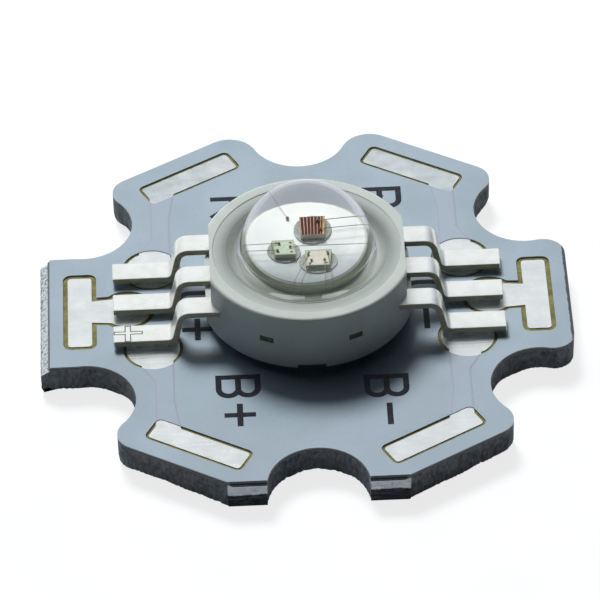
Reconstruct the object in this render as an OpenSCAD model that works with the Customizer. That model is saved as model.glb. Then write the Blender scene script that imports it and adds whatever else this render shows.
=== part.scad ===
// Three-colour power LED soldered to a star-shaped aluminium circuit board.
// Millimetres. The origin is the middle of the board's underside, X runs along the leads and Z is up.
// Leads on the left (-X) are positive, on the right negative; back row red, middle green, front blue.

/* [Board outline] */
// Width across the punched flats of the hexagon
flats_w = 19.75; // [19:0.05:24]
// How far the scored left side stands out past the punched flats
side_out = 0.14; // [0:0.02:0.3]
// How far the scored front facets lie inside the punched flats
facet_in = 0.1; // [0:0.05:0.3]
// Depth of the score groove in the top
score_depth = 0.4; // [0.2:0.05:0.5]
// How far that groove leans in at the face of the board
score_lean = 0.3; // [0.1:0.05:0.5]
// Depth of the score groove in the underside
under_depth = 0.25; // [0.1:0.05:0.4]
// How far that groove leans in at the underside
under_lean = 0.1; // [0.05:0.01:0.3]
// Radius of the six half-round screw notches
notch_r = 1.9; // [1.5:0.05:2.2]
// How far each notch's centre lies inside the flats' inscribed circle
notch_inset = 0.1; // [0:0.05:0.4]
// Rounding of the punched lobe corners
lobe_round = 0.8; // [0.3:0.05:0.9]
// Rounding of the two corners beside the back notch
back_round = 1.1; // [0.3:0.05:1.2]

/* [Board layers] */
// Thickness of the aluminium base
base_t = 1.1; // [1:0.1:2]
// Thickness of the insulating layer
dielectric_t = 0.1; // [0.05:0.01:0.2]
// Thickness of the tinned copper foil
copper_t = 0.035; // [0.03:0.005:0.07]
// Thickness of solder mask over the copper
mask_cover = 0.025; // [0.01:0.005:0.05]
// Gap between a corner circuit's pads and the edge of their mask openings
corner_margin = 0.12; // [0.05:0.01:0.18]
// Gap between a middle circuit's pads and the edge of their mask opening
middle_margin = 0.18; // [0.05:0.01:0.2]

/* [Pads and tracks] */
// Length of a wire pad
wire_pad_l = 3.8; // [2.6:0.1:4]
// Width of a wire pad
wire_pad_w = 0.9; // [0.6:0.05:1.1]
// Rounding of a wire pad's corners
wire_pad_round = 0.12; // [0.08:0.01:0.2]
// Radius of the corner lead pads
corner_pad_r = 1; // [0.8:0.05:1.05]
// Radius of the middle lead pads
middle_pad_r = 0.88; // [0.7:0.02:0.9]
// How far a middle lead pad's centre lies outward of its foot's middle
middle_pad_out = 0.5; // [0.3:0.05:0.6]
// How far a corner lead pad's centre lies outside its lead's row
corner_pad_out = 0.45; // [0.4:0.05:0.8]
// How far a corner lead pad's centre lies inward of its foot's middle
corner_pad_in = 0.45; // [0.3:0.05:0.8]
// Width of the necks that join the middle pads to their wire pads
neck_w = 1.1; // [0.8:0.05:1.3]
// Width of the tracks
track_w = 0.72; // [0.5:0.02:0.9]
// How much a track widens outward where it joins its lead pad
flare_w = 0.46; // [0.3:0.02:0.5]
// Length of that flare
flare_l = 0.8; // [0.5:0.05:1]
// How far a track's centre lies inward of its lead pad's centre
track_in = 0.38; // [0.2:0.02:0.45]
// Radius of the thermal pad under the slug
thermal_pad_r = 3.1; // [2.95:0.05:3.4]

/* [Heat slug] */
// Thickness of solder under the slug
slug_solder_t = 0.1; // [0.05:0.01:0.15]
// Radius of the slug's base
slug_base_r = 2.8; // [2.5:0.05:2.9]
// Height of the slug's base
slug_base_h = 0.9; // [0.6:0.05:1.1]
// Radius of the pedestal that carries the dies
pedestal_r = 1.54; // [1.5:0.02:1.66]
// How far the die plane lies below the housing's rim
die_drop = 0.115; // [0.05:0.005:0.2]
// Bevel round the pedestal's top edge
pedestal_bevel = 0.06; // [0.03:0.01:0.1]
// How far the slug's foot stands out below the housing
slug_foot_h = 0.3; // [0.2:0.02:0.4]

/* [Housing] */
// Outside diameter of the housing
housing_d = 8; // [7.9:0.05:8.6]
// Height of the housing
housing_h = 2.4; // [2.35:0.05:2.6]
// Width across the flats above the leads
housing_flats = 7.3; // [7.2:0.05:7.6]
// Width of the ledge that the lower half keeps below the leads
ledge_w = 0.2; // [0.1:0.05:0.25]
// Rounding of the rim's outer edge
rim_round = 0.12; // [0.06:0.02:0.2]
// Chamfer on the rim's inner edge
rim_chamfer = 0.1; // [0.04:0.02:0.14]
// Radius of the recess that seats the lens
recess_r = 3.45; // [3.4:0.01:3.48]
// Depth of the recess
recess_depth = 0.85; // [0.8:0.05:0.9]
// Radius of the bonding well round the pedestal
well_r = 2.45; // [2.4:0.05:2.6]
// Depth of the bonding well below the recess, down to the lead frame
well_depth = 0.225; // [0.15:0.025:0.25]
// Width of the notch under the housing's front and back
foot_notch_w = 1.05; // [0.6:0.05:1.5]
// Height of that notch
foot_notch_h = 0.15; // [0.1:0.01:0.2]
// Depth of that notch into the wall
foot_notch_depth = 0.6; // [0.3:0.05:0.8]

/* [Leads] */
// Thickness of the lead frame
lead_t = 0.25; // [0.15:0.01:0.28]
// Width of a lead
lead_w = 0.9; // [0.75:0.05:0.95]
// Spacing of the leads along the housing's flat
lead_pitch = 1.75; // [1.7:0.05:1.85]
// Span over the tips of opposite leads
lead_span = 14.7; // [14.4:0.1:15]
// Length of a foot's straight stretch
foot_l = 2.03; // [1.9:0.01:2.2]
// Inside radius of the bend at the heel
heel_r = 0.2; // [0.15:0.01:0.25]
// Inside radius of the bend at the shoulder
shoulder_r = 0.27; // [0.2:0.01:0.35]
// Angle by which a lead leans outward between its bends
riser_lean = 12; // [0:1:15]
// Thickness of solder between a foot and its pad
foot_solder_t = 0.175; // [0.1:0.005:0.2]
// How far the solder stays back from a foot's edges
solder_setback = 0.12; // [0.05:0.01:0.2]
// Width of the bonding fingers at the inner ends of the corner leads
finger_w = 0.45; // [0.4:0.01:0.5]
// Distance of the front left finger's tip from the middle plane
front_plus_tip = 0.14; // [0.1:0.02:0.3]
// Distance of the front right finger's tip from the middle plane
front_minus_tip = 0.44; // [0.3:0.02:0.6]
// Distance of the back left finger's tip from the middle plane
back_plus_tip = 0.55; // [0.4:0.05:0.65]
// Distance of a middle finger's tip from the middle plane
middle_tip = 1.85; // [1.8:0.05:1.9]
// Distance of the back right finger's branch from the middle plane
branch_x = 1.75; // [1.72:0.01:1.8]
// Gap between that branch's end and the middle lead beside it
branch_gap = 0.15; // [0.1:0.01:0.25]
// Width of the cut tie bars that show in the housing's wall
tie_bar_w = 0.5; // [0.3:0.05:0.6]
// Length of a tie bar's end inside the wall
tie_bar_l = 0.7; // [0.5:0.05:0.8]
// Distance of each tie bar from the middle plane
tie_bar_x = 1.65; // [1.5:0.05:1.8]
// How far a tie bar's end lies below the wall
tie_bar_sunk = 0.05; // [0.02:0.01:0.1]

/* [Lens] */
// Outside radius of the dome
dome_r = 2.45; // [2.4:0.01:2.55]
// Thickness of the dome's wall
dome_wall = 0.36; // [0.3:0.02:0.4]
// Height of the dome's centre above the housing's rim
dome_lift = 0.145; // [0.1:0.005:0.3]
// How far the dome's skirt widens down to the flange
skirt_flare = 0.1; // [0.05:0.01:0.2]
// Thickness of the flange
flange_t = 0.45; // [0.35:0.05:0.55]
// Radius of the raised ring on the flange
ring_r = 3; // [2.9:0.02:3.1]
// Height of the raised ring
ring_h = 0.12; // [0.05:0.01:0.2]
// Clearance round the flange and inside its foot
lens_clear = 0.05; // [0.02:0.01:0.1]
// Radius of the two filling ports at the flange's edge
port_r = 0.25; // [0.15:0.01:0.28]
// Angle of each port from the lead axis, towards the front
port_angle = 13; // [8:1:20]

/* [Dies and wires] */
// Side of the square red and green dies
die_w = 0.55; // [0.5:0.01:0.58]
// Side of the square blue die
blue_die_w = 0.68; // [0.6:0.01:0.7]
// Thickness of a die
die_t = 0.15; // [0.1:0.01:0.2]
// How far the bonding paste reaches past a die's corners
paste_out = 0.03; // [0.02:0.005:0.04]
// Thickness of the bonding paste
paste_t = 0.04; // [0.02:0.005:0.06]
// Radius of a bond wire
wire_r = 0.02; // [0.015:0.001:0.025]
// Radius of the ball where a wire starts
ball_r = 0.05; // [0.04:0.002:0.055]
// Height of that ball
ball_h = 0.07; // [0.06:0.005:0.1]
// Distance from a die's edge to the balls on it
ball_edge = 0.08; // [0.07:0.005:0.1]
// Spacing of two balls on one side of a die
ball_gap = 0.26; // [0.2:0.01:0.3]
// How far the ball nearer the lead's row stands in from the other
ball_stagger = 0.08; // [0.06:0.01:0.1]
// Radius of a wire's bend over the edge of the pedestal
wire_bend = 0.3; // [0.2:0.02:0.34]
// Distance from a finger's tip to the wires on it
bond_edge = 0.12; // [0.08:0.01:0.16]
// Spacing of two wires on one finger
bond_gap = 0.26; // [0.2:0.01:0.3]

/* [Hidden] */

// Sides and rows of the leads
PLUS = -1;
MINUS = 1;
BACK = 1;
MIDDLE = 0;
FRONT = -1;

// Roundness, and the overrun that keeps cuts clean
round_fn = 96;
small_fn = 32;
wire_fn = 16;
bend_steps = 8;
rim_steps = 4;
cut = 0.2;

// Heights of the board's layers
copper_z = base_t + dielectric_t;
copper_top = copper_z + copper_t;
board_top = copper_top + mask_cover;

// Heights of the emitter
seat_z = copper_top + slug_solder_t;
housing_z = seat_z + slug_foot_h;
rim_z = housing_z + housing_h;
recess_z = rim_z - recess_depth;
frame_top = recess_z - well_depth;
frame_bottom = frame_top - lead_t;
die_plane = rim_z - die_drop;
dome_z = rim_z + dome_lift;
die_top = die_plane + paste_t + die_t;

// Outline of the board
side_x = flats_w / 2 + side_out;
facet_y = flats_w / 2 - facet_in;
notch_reach = flats_w / 2 - notch_inset;
// A lobe seen from the middle: distance along its flat, distance outward
notch_at = notch_reach * [sin(30), cos(30)];
// The rounding stops this much short of the notch, so that the two surfaces cross cleanly
round_stop = 5;
// How far one shape reaches into another where touching alone would leave a seam
overlap = 0.02;
// Where the scored sides are, and the notches that lie between them
LEFT_SIDE = 180;
BACK_NOTCH = 90;
FRONT_NOTCH = 270;

// Leads, measured outward from the middle plane
tip_x = lead_span / 2;
heel_x = tip_x - foot_l;
foot_mid = (tip_x + heel_x) / 2;
riser_out = heel_x - heel_r;
riser_in = riser_out - lead_t;
foot_bottom = copper_top + foot_solder_t;
foot_top = foot_bottom + lead_t;
heel_z = foot_top + heel_r;
shoulder_z = frame_bottom - shoulder_r;
// The shoulder's centre, placed so that the leaning stretch touches both bends
riser_drop = (shoulder_z - heel_z) * sin(riser_lean);
shoulder_x = heel_x - (shoulder_r + lead_t + heel_r + riser_drop) / cos(riser_lean);
finger_y = lead_pitch + lead_w / 2 - finger_w;
branch_y = lead_w / 2 + branch_gap;
// The full width of a corner lead ends inside the housing's wall
finger_root = sqrt(pow(well_r, 2) - pow(lead_pitch - lead_w / 2, 2)) + lead_t;
// The solder climbs halfway round the heel
heel_wet = (90 - riser_lean) / 2;

// Pads; the wire pads lie midway between the lead tips and the board's flats
wire_pad_reach = (tip_x + flats_w / 2) / 2;
corner_pad_at = [foot_mid - corner_pad_in, lead_pitch + corner_pad_out];
middle_pad_x = foot_mid + middle_pad_out;
track_x = corner_pad_at[0] - track_in;
// Where a track meets the middle line of its slanted wire pad
track_end = wire_pad_reach / cos(30) - track_x * tan(30);
// The neck's flare meets the middle pad at this angle
neck_meets = 50;

// Dies on the slug and the wire's place beside them, as shares of the pedestal's radius
red_at = pedestal_r * [0.1, 0.466];
green_at = pedestal_r * [-0.373, 0.007];
blue_at = pedestal_r * [0.188, -0.296];
slug_bond_at = pedestal_r * [-0.233, 0.72];

// Inside of the lens
inner_r = dome_r - dome_wall;
foot_r = well_r - lens_clear;

// Points on an arc about c with radius r, from angle a to angle b
function arc(c, r, a, b, n) = [
    for (i = [0:n]) c + r * [cos(a + (b - a) * i / n), sin(a + (b - a) * i / n)]
];

// A point given along a lobe's flat and outward, turned to the lobe at that angle
function on_lobe(p, angle) = [
    p[1] * cos(angle) - p[0] * sin(angle),
    p[1] * sin(angle) + p[0] * cos(angle)
];

// The corner of a punched lobe, rounded by r, from its flat towards the notch
function punched_corner(r) =
    let (
        out = flats_w / 2 - r,
        along = notch_at[0] - sqrt(pow(notch_r + r, 2) - pow(out - notch_at[1], 2)),
        end = atan2(notch_at[1] - out, notch_at[0] - along) + round_stop
    )
    arc([along, out], r, 90, end, bend_steps);

// A front corner that a score cuts square runs on into its notch
function facet_corner() = [[notch_at[0] - notch_r / 2, flats_w / 2]];

// The scored side's corners run straight out from the foot of the notch
function side_corner() =
    let (along = notch_at[0] - notch_r + overlap)
    [[along, side_x], [along, notch_at[1]]];

// Half a lobe from the middle of its flat to the notch at its end
function half_lobe(angle, notch) =
    angle == LEFT_SIDE ? side_corner()
    : notch == FRONT_NOTCH ? facet_corner()
    : punched_corner(notch == BACK_NOTCH ? back_round : lobe_round);

// A whole lobe, against the clock, followed by the centre of the next notch
function lobe(angle) =
    let (
        before = half_lobe(angle, angle - 30),
        after = half_lobe(angle, angle + 30),
        n = len(before)
    )
    [
        for (i = [1:n]) on_lobe([-before[n - i][0], before[n - i][1]], angle),
        for (p = after) on_lobe(p, angle),
        on_lobe(notch_at, angle)
    ];

// Outline of the whole star; the notches are cut out of it as true cylinders
function star_points() = [for (k = [0:5]) each lobe(60 * k)];

// Outline of a rectangle about the origin, its corners rounded by r
function rounded(width, length, r) =
    let (x = width / 2 - r, y = length / 2 - r)
    concat(
        arc([x, y], r, 0, 90, rim_steps),
        arc([-x, y], r, 90, 180, rim_steps),
        arc([-x, -y], r, 180, 270, rim_steps),
        arc([x, -y], r, 270, 360, rim_steps)
    );

// Angle of the wire pad that serves a lead
function pad_angle(side, row) = row == MIDDLE ? 90 - 90 * side : atan2(row * sin(60), side * cos(60));

// Outline of a corner circuit's track, flared at its lead pad and half as much at its wire pad
function track(side, row) =
    let (
        near = corner_pad_at[1] + corner_pad_r,
        inside = track_x - track_w / 2,
        outside = track_x + track_w / 2,
        points = [
            [inside, corner_pad_at[1]], [outside + flare_w, corner_pad_at[1]],
            [outside + flare_w, near], [outside, near + flare_l],
            [outside, track_end], [inside - flare_w / 2, track_end],
            [inside, track_end - wire_pad_w - flare_l]
        ],
        last = len(points) - 1
    )
    [for (i = [0:last]) let (p = points[side == row ? i : last - i]) [side * p[0], row * p[1]]];

// Section of a lead from its inner end to its tip
function lead_section(inner) =
    let (
        shoulder = [shoulder_x, shoulder_z],
        heel = [heel_x, heel_z]
    )
    concat(
        [[inner, frame_bottom], [inner, frame_top]],
        arc(shoulder, shoulder_r + lead_t, 90, riser_lean, bend_steps),
        arc(heel, heel_r, 180 + riser_lean, 270, bend_steps),
        [[tip_x, foot_top], [tip_x, foot_bottom]],
        arc(heel, heel_r + lead_t, 270, 180 + riser_lean, bend_steps),
        arc(shoulder, shoulder_r, riser_lean, 90, bend_steps)
    );

// Section of the solder under a foot, climbing the heel along the lead's own curve
function solder_section() = concat(
    [[riser_in - solder_setback, copper_top], [tip_x - solder_setback, copper_top]],
    [[tip_x - solder_setback, foot_bottom]],
    arc([heel_x, heel_z], heel_r + lead_t, 270, 270 - heel_wet, bend_steps / 2)
);

// Whether a corner lead's finger has the branch that reaches round the pedestal
function branched(side, row) = side == MINUS && row == BACK;

// Distance of a corner finger's tip from the middle plane
function finger_tip(side, row) =
    branched(side, row) ? branch_x
    : row == BACK ? back_plus_tip
    : side == PLUS ? front_plus_tip
    : front_minus_tip;

// Place of a ball on a die: i is 0 for the ball nearer the lead's row, 1 for the other, 0.5 between
function ball_at(at, width, side, row, i) = at + [
    side * (width / 2 - ball_edge - ball_stagger * (1 - i)),
    (row == MIDDLE ? 1 : row) * ball_gap * (0.5 - i)
];

// Place where that wire meets its lead
function bond_at(side, row, i) =
    row == MIDDLE ? [side * (middle_tip + bond_edge), bond_gap * (0.5 - i)]
    : branched(side, row) ? [branch_x + bond_edge, branch_y + bond_edge + bond_gap * (1 - i)]
    : [side * (finger_tip(side, row) + bond_edge + i * bond_gap), row * (finger_y + bond_edge)];

// Score groove in the underside along an edge that faces +X
module groove(edge, depth, lean) {
    over = cut * lean / depth;
    far = edge + over + cut;
    rotate([90, 0, 0]) linear_extrude(flats_w, center = true) polygon([
        [edge - lean - over, -cut], [far, -cut], [far, depth + cut], [edge + over, depth + cut]
    ]);
}

// The grooves of the scored sides in the underside of the board
module score_grooves(depth, lean) {
    rotate(LEFT_SIDE) groove(side_x, depth, lean);
    rotate(FRONT_NOTCH) groove(facet_y, depth, lean);
}

// A star-shaped layer of the board
module star(z, h) {
    difference() {
        translate([0, 0, z]) linear_extrude(h) polygon(star_points());
        for (k = [0:5]) rotate(30 + 60 * k) translate([notch_reach, 0, z - cut])
            cylinder(r = notch_r, h = h + 2 * cut, $fn = round_fn);
        translate([-flats_w / 2, -facet_y - flats_w, z - cut]) cube([flats_w, flats_w, h + 2 * cut]);
        score_grooves(under_depth, under_lean);
        translate([0, 0, board_top]) mirror([0, 0, 1]) score_grooves(score_depth, score_lean);
    }
}

// Outline of the wire pad and lead pad of one circuit, grown by a margin
module pads(side, row, grow) {
    rotate(pad_angle(side, row)) translate([wire_pad_reach, 0])
        polygon(rounded(wire_pad_w + 2 * grow, wire_pad_l + 2 * grow, wire_pad_round + grow));
    if (row == MIDDLE) {
        translate([side * middle_pad_x, 0]) circle(r = middle_pad_r + grow, $fn = round_fn);
        neck(side, grow);
    } else {
        translate([side * corner_pad_at[0], row * corner_pad_at[1]])
            circle(r = corner_pad_r + grow, $fn = round_fn);
    }
}

// Neck between a middle lead pad and its wire pad, flaring towards the lead pad
module neck(side, grow) {
    r = middle_pad_r + grow - overlap;
    flare = r * [cos(neck_meets), sin(neck_meets)];
    half = neck_w / 2 + grow;
    rotate(pad_angle(side, MIDDLE)) polygon([
        [middle_pad_x, 0], [middle_pad_x + flare[0], -flare[1]], [wire_pad_reach, -half],
        [wire_pad_reach, half], [middle_pad_x + flare[0], flare[1]]
    ]);
}

// Outline of one circuit's copper
module foil(side, row) {
    pads(side, row, 0);
    if (row != MIDDLE) polygon(track(side, row));
}

module copper_track(side, row) {
    color("gainsboro") translate([0, 0, copper_z]) linear_extrude(copper_t) foil(side, row);
}

module lead_solder(side, row) {
    color("darkgray") intersection() {
        mirror([side < 0 ? 1 : 0, 0, 0]) translate([0, row * lead_pitch, 0]) rotate([90, 0, 0])
            linear_extrude(lead_w - 2 * solder_setback, center = true) polygon(solder_section());
        translate([0, 0, copper_z]) linear_extrude(heel_z - copper_z) pads(side, row, -solder_setback / 2);
    }
}

module lead(side, row) {
    color("whitesmoke") mirror([side < 0 ? 1 : 0, 0, 0]) {
        translate([0, row * lead_pitch, 0]) rotate([90, 0, 0]) linear_extrude(lead_w, center = true)
            polygon(lead_section(row == MIDDLE ? middle_tip : finger_root));
        if (row != MIDDLE) finger(finger_tip(side, row), row);
        if (branched(side, row)) translate([branch_x, branch_y, frame_bottom])
            cube([finger_w, finger_y + finger_w - branch_y, lead_t]);
    }
}

// Bonding finger of a corner lead, from its tip to the lead's full width
module finger(tip, row) {
    translate([tip, row == BACK ? finger_y : -finger_y - finger_w, frame_bottom])
        cube([finger_root + overlap - tip, finger_w, lead_t]);
}

module all_leads() {
    for (side = [PLUS, MINUS], row = [BACK, MIDDLE, FRONT]) lead(side, row);
}

// The tie bars, from their inner ends in the wall out past it
module tie_bars() {
    inner = sqrt(pow(housing_d / 2, 2) - pow(tie_bar_x, 2)) - tie_bar_l;
    for (x = [-tie_bar_x, tie_bar_x], turn = [0, 180])
        rotate(turn) translate([x - tie_bar_w / 2, inner, frame_bottom])
            cube([tie_bar_w, housing_d, lead_t]);
}

module paste(at, width) {
    color("darkgray") translate([at[0], at[1], die_plane])
        cylinder(r = width / sqrt(2) + paste_out, h = paste_t, $fn = small_fn);
}

module die(at, width, colour) {
    color(colour) translate([at[0], at[1], die_plane + paste_t + die_t / 2])
        cube([width, width, die_t], center = true);
}

// One bond wire: a ball at the height base, a level run, a bend past the pedestal and a drop to the lead
module wire(from, to, base) {
    run = norm(to - from);
    step = to - from;
    wire_z = base + ball_h / 2;
    translate([from[0], from[1], 0]) rotate(atan2(step[1], step[0])) {
        translate([0, 0, base]) cylinder(r = ball_r, h = ball_h, $fn = small_fn);
        translate([0, 0, wire_z]) rotate([0, 90, 0])
            cylinder(r = wire_r, h = run - wire_bend, $fn = wire_fn);
        translate([run - wire_bend, 0, wire_z - wire_bend]) rotate([90, 0, 0])
            rotate_extrude(angle = 90, $fn = small_fn)
                translate([wire_bend, 0]) circle(r = wire_r, $fn = wire_fn);
        translate([run, 0, frame_top])
            cylinder(r = wire_r, h = wire_z - wire_bend - frame_top, $fn = wire_fn);
    }
}

// The wires from one side of a die to its lead
module wires(at, width, side, row, places) {
    color("gold") for (i = places) wire(ball_at(at, width, side, row, i), bond_at(side, row, i), die_top);
}

// Half a ball with its flat side down
module half_ball(r) {
    intersection() {
        sphere(r = r, $fn = round_fn);
        translate([-2 * r, -2 * r, 0]) cube(4 * r);
    }
}

// The clear space inside the lens, down to its foot
module lens_inside() {
    translate([0, 0, recess_z]) cylinder(r1 = foot_r, r2 = inner_r, h = dome_z - recess_z, $fn = round_fn);
    translate([0, 0, dome_z]) half_ball(inner_r);
}

module base_plate() {
    color("slategray") star(0, base_t);
}

module dielectric_layer() {
    color("darkolivegreen") star(base_t, dielectric_t);
}

module solder_mask() {
    color("lightsteelblue") difference() {
        star(copper_z, copper_t + mask_cover);
        for (side = [PLUS, MINUS], row = [BACK, MIDDLE, FRONT]) {
            translate([0, 0, copper_z - cut]) linear_extrude(copper_t + mask_cover + 2 * cut)
                pads(side, row, row == MIDDLE ? middle_margin : corner_margin);
            translate([0, 0, copper_z - cut]) linear_extrude(copper_t + cut) foil(side, row);
        }
        translate([0, 0, copper_z - cut])
            cylinder(r = thermal_pad_r + corner_margin, h = copper_t + mask_cover + 2 * cut, $fn = round_fn);
    }
}

module thermal_pad() {
    color("gainsboro") translate([0, 0, copper_z])
        cylinder(r = thermal_pad_r, h = copper_t, $fn = round_fn);
}

module slug_solder() {
    color("darkgray") translate([0, 0, copper_top])
        cylinder(r = slug_base_r - solder_setback, h = slug_solder_t, $fn = round_fn);
}

module heat_slug() {
    base_top = seat_z + slug_base_h;
    color("silver") rotate_extrude($fn = round_fn) polygon([
        [0, seat_z], [slug_base_r, seat_z], [slug_base_r, base_top], [pedestal_r, base_top],
        [pedestal_r, die_plane - pedestal_bevel], [pedestal_r - pedestal_bevel, die_plane], [0, die_plane]
    ]);
}

// Material outside a pair of flats, from z up by h
module outside_flats(width, z, h) {
    for (turn = [0, 180]) rotate(turn) translate([width / 2, -housing_d, z])
        cube([housing_d, 2 * housing_d, h]);
}

// Recess for the lens and bonding well, as one turned cut
module housing_inside() {
    rotate_extrude($fn = round_fn) polygon([
        [0, frame_top], [well_r, frame_top], [well_r, recess_z], [recess_r, recess_z],
        [recess_r, rim_z - rim_chamfer], [recess_r + rim_chamfer + cut, rim_z + cut], [0, rim_z + cut]
    ]);
}

module housing() {
    r = housing_d / 2;
    color("honeydew") difference() {
        rotate_extrude($fn = round_fn) polygon(concat(
            [[0, housing_z], [r, housing_z]],
            arc([r - rim_round, rim_z - rim_round], rim_round, 0, 90, rim_steps),
            [[0, rim_z]]
        ));
        outside_flats(housing_flats, frame_bottom, rim_z - frame_bottom + cut);
        outside_flats(housing_flats + 2 * ledge_w, housing_z - cut, frame_bottom - housing_z + cut);
        housing_inside();
        heat_slug();
        all_leads();
        tie_bars();
        for (turn = [0, 180]) rotate(turn) translate([-foot_notch_w / 2, -r - cut, housing_z - cut])
            cube([foot_notch_w, foot_notch_depth + cut, foot_notch_h + cut]);
    }
}

module tie_bar_ends() {
    color("darkgoldenrod") intersection() {
        tie_bars();
        translate([0, 0, housing_z])
            cylinder(r = housing_d / 2 - tie_bar_sunk, h = housing_h, $fn = round_fn);
    }
}

module silicone_gel() {
    color("aliceblue", 0.4) difference() {
        union() {
            lens_inside();
            translate([0, 0, frame_top]) cylinder(r = well_r, h = recess_z - frame_top, $fn = round_fn);
        }
        heat_slug();
        red_paste();
        green_paste();
        blue_paste();
        red_die();
        green_die();
        blue_die();
        red_wires();
        green_wires();
        blue_wires();
    }
}

module lens() {
    flange_r = recess_r - lens_clear;
    color("azure", 0.4) difference() {
        union() {
            translate([0, 0, recess_z]) cylinder(r = flange_r, h = flange_t, $fn = round_fn);
            translate([0, 0, recess_z]) cylinder(r = ring_r, h = flange_t + ring_h, $fn = round_fn);
            translate([0, 0, recess_z])
                cylinder(r1 = dome_r + skirt_flare, r2 = dome_r, h = dome_z - recess_z, $fn = round_fn);
            translate([0, 0, dome_z]) half_ball(dome_r);
        }
        lens_inside();
        for (angle = [-port_angle, 180 + port_angle]) rotate(angle) translate([flange_r, 0, recess_z - cut])
            cylinder(r = port_r, h = flange_t + ring_h + 2 * cut, $fn = small_fn);
    }
}

module red_paste() {
    paste(red_at, die_w);
}

module green_paste() {
    paste(green_at, die_w);
}

module blue_paste() {
    paste(blue_at, blue_die_w);
}

module red_die() {
    die(red_at, die_w, "firebrick");
}

module green_die() {
    die(green_at, die_w, "palegreen");
}

module blue_die() {
    die(blue_at, blue_die_w, "lightcyan");
}

// The red die's other pole is its underside, so that wire starts on the slug
module red_wires() {
    wires(red_at, die_w, MINUS, BACK, [0, 1]);
    color("gold") wire(slug_bond_at, bond_at(PLUS, BACK, 0), die_plane);
}

module green_wires() {
    wires(green_at, die_w, PLUS, MIDDLE, [0, 1]);
    wires(green_at, die_w, MINUS, MIDDLE, [0.5]);
}

module blue_wires() {
    wires(blue_at, blue_die_w, PLUS, FRONT, [0, 1]);
    wires(blue_at, blue_die_w, MINUS, FRONT, [0, 1]);
}

base_plate();
dielectric_layer();
solder_mask();
thermal_pad();
copper_track(PLUS, BACK);  // red_plus_track
copper_track(MINUS, BACK);  // red_minus_track
copper_track(PLUS, MIDDLE);  // green_plus_track
copper_track(MINUS, MIDDLE);  // green_minus_track
copper_track(PLUS, FRONT);  // blue_plus_track
copper_track(MINUS, FRONT);  // blue_minus_track
lead_solder(PLUS, BACK);  // red_plus_solder
lead_solder(MINUS, BACK);  // red_minus_solder
lead_solder(PLUS, MIDDLE);  // green_plus_solder
lead_solder(MINUS, MIDDLE);  // green_minus_solder
lead_solder(PLUS, FRONT);  // blue_plus_solder
lead_solder(MINUS, FRONT);  // blue_minus_solder
slug_solder();
heat_slug();
housing();
tie_bar_ends();
lead(PLUS, BACK);  // red_plus_lead
lead(MINUS, BACK);  // red_minus_lead
lead(PLUS, MIDDLE);  // green_plus_lead
lead(MINUS, MIDDLE);  // green_minus_lead
lead(PLUS, FRONT);  // blue_plus_lead
lead(MINUS, FRONT);  // blue_minus_lead
red_paste();
green_paste();
blue_paste();
red_die();
green_die();
blue_die();
red_wires();
green_wires();
blue_wires();
silicone_gel();
lens();
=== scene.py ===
# %% [markdown]
# # Power LED on a star board
# A three-colour power LED sits on a star-shaped aluminium board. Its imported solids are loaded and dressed
# here. A solid that already has the right shape keeps it and gets a finish. The punched core, the clear
# dome, the leads and the bond wires could stay solids too, but their edges would look too clean and their
# curves faceted, so they are made again as smooth surfaces. Printed and stamped signs are added.

# %% Load the solids
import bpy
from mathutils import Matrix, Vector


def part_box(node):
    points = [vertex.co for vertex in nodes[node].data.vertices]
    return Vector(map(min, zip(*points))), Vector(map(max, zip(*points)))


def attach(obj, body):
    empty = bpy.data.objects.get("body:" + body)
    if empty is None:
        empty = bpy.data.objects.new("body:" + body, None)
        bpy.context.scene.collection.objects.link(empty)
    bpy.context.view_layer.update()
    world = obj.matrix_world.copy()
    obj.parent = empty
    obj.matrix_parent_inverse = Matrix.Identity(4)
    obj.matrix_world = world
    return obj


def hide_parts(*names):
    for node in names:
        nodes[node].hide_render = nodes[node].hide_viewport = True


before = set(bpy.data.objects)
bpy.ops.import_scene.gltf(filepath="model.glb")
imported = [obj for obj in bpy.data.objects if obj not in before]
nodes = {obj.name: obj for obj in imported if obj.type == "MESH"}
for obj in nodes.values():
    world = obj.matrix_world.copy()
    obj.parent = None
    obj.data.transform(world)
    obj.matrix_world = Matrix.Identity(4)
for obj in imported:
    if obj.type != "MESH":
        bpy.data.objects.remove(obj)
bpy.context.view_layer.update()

import bpy
import bmesh
import numpy as np
from mathutils import Matrix

# %% [markdown]
# ## Sizes
# Every size is in millimetres, as on a maker's drawing, and turns into metres only when a mesh is written.
# Heights could be typed in again, but they are read off the solids, so a new surface always sits on them.

# %% Places in millimetres
MM = 0.001

def corners(node):
    """Lowest and highest corner of a solid: its box in metres divided by a millimetre."""
    return [np.array(corner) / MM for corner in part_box(node)]

core_top = corners("base_plate")[1][2]
print("aluminium core is", round(core_top, 3), "mm thick")

# %% [markdown]
# ## Surfaces from grids
# Every new piece is a grid of points whose columns close round: rings one above the other for the core and
# the dome, rings along a path for leads, wires and print. Blender's bevelled curves could do some of them,
# but a grid gives each point its exact place, and one function turns every grid into a clean mesh.

# %% Grid to mesh
CREASE = 35
MERGE = 1e-5

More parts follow.
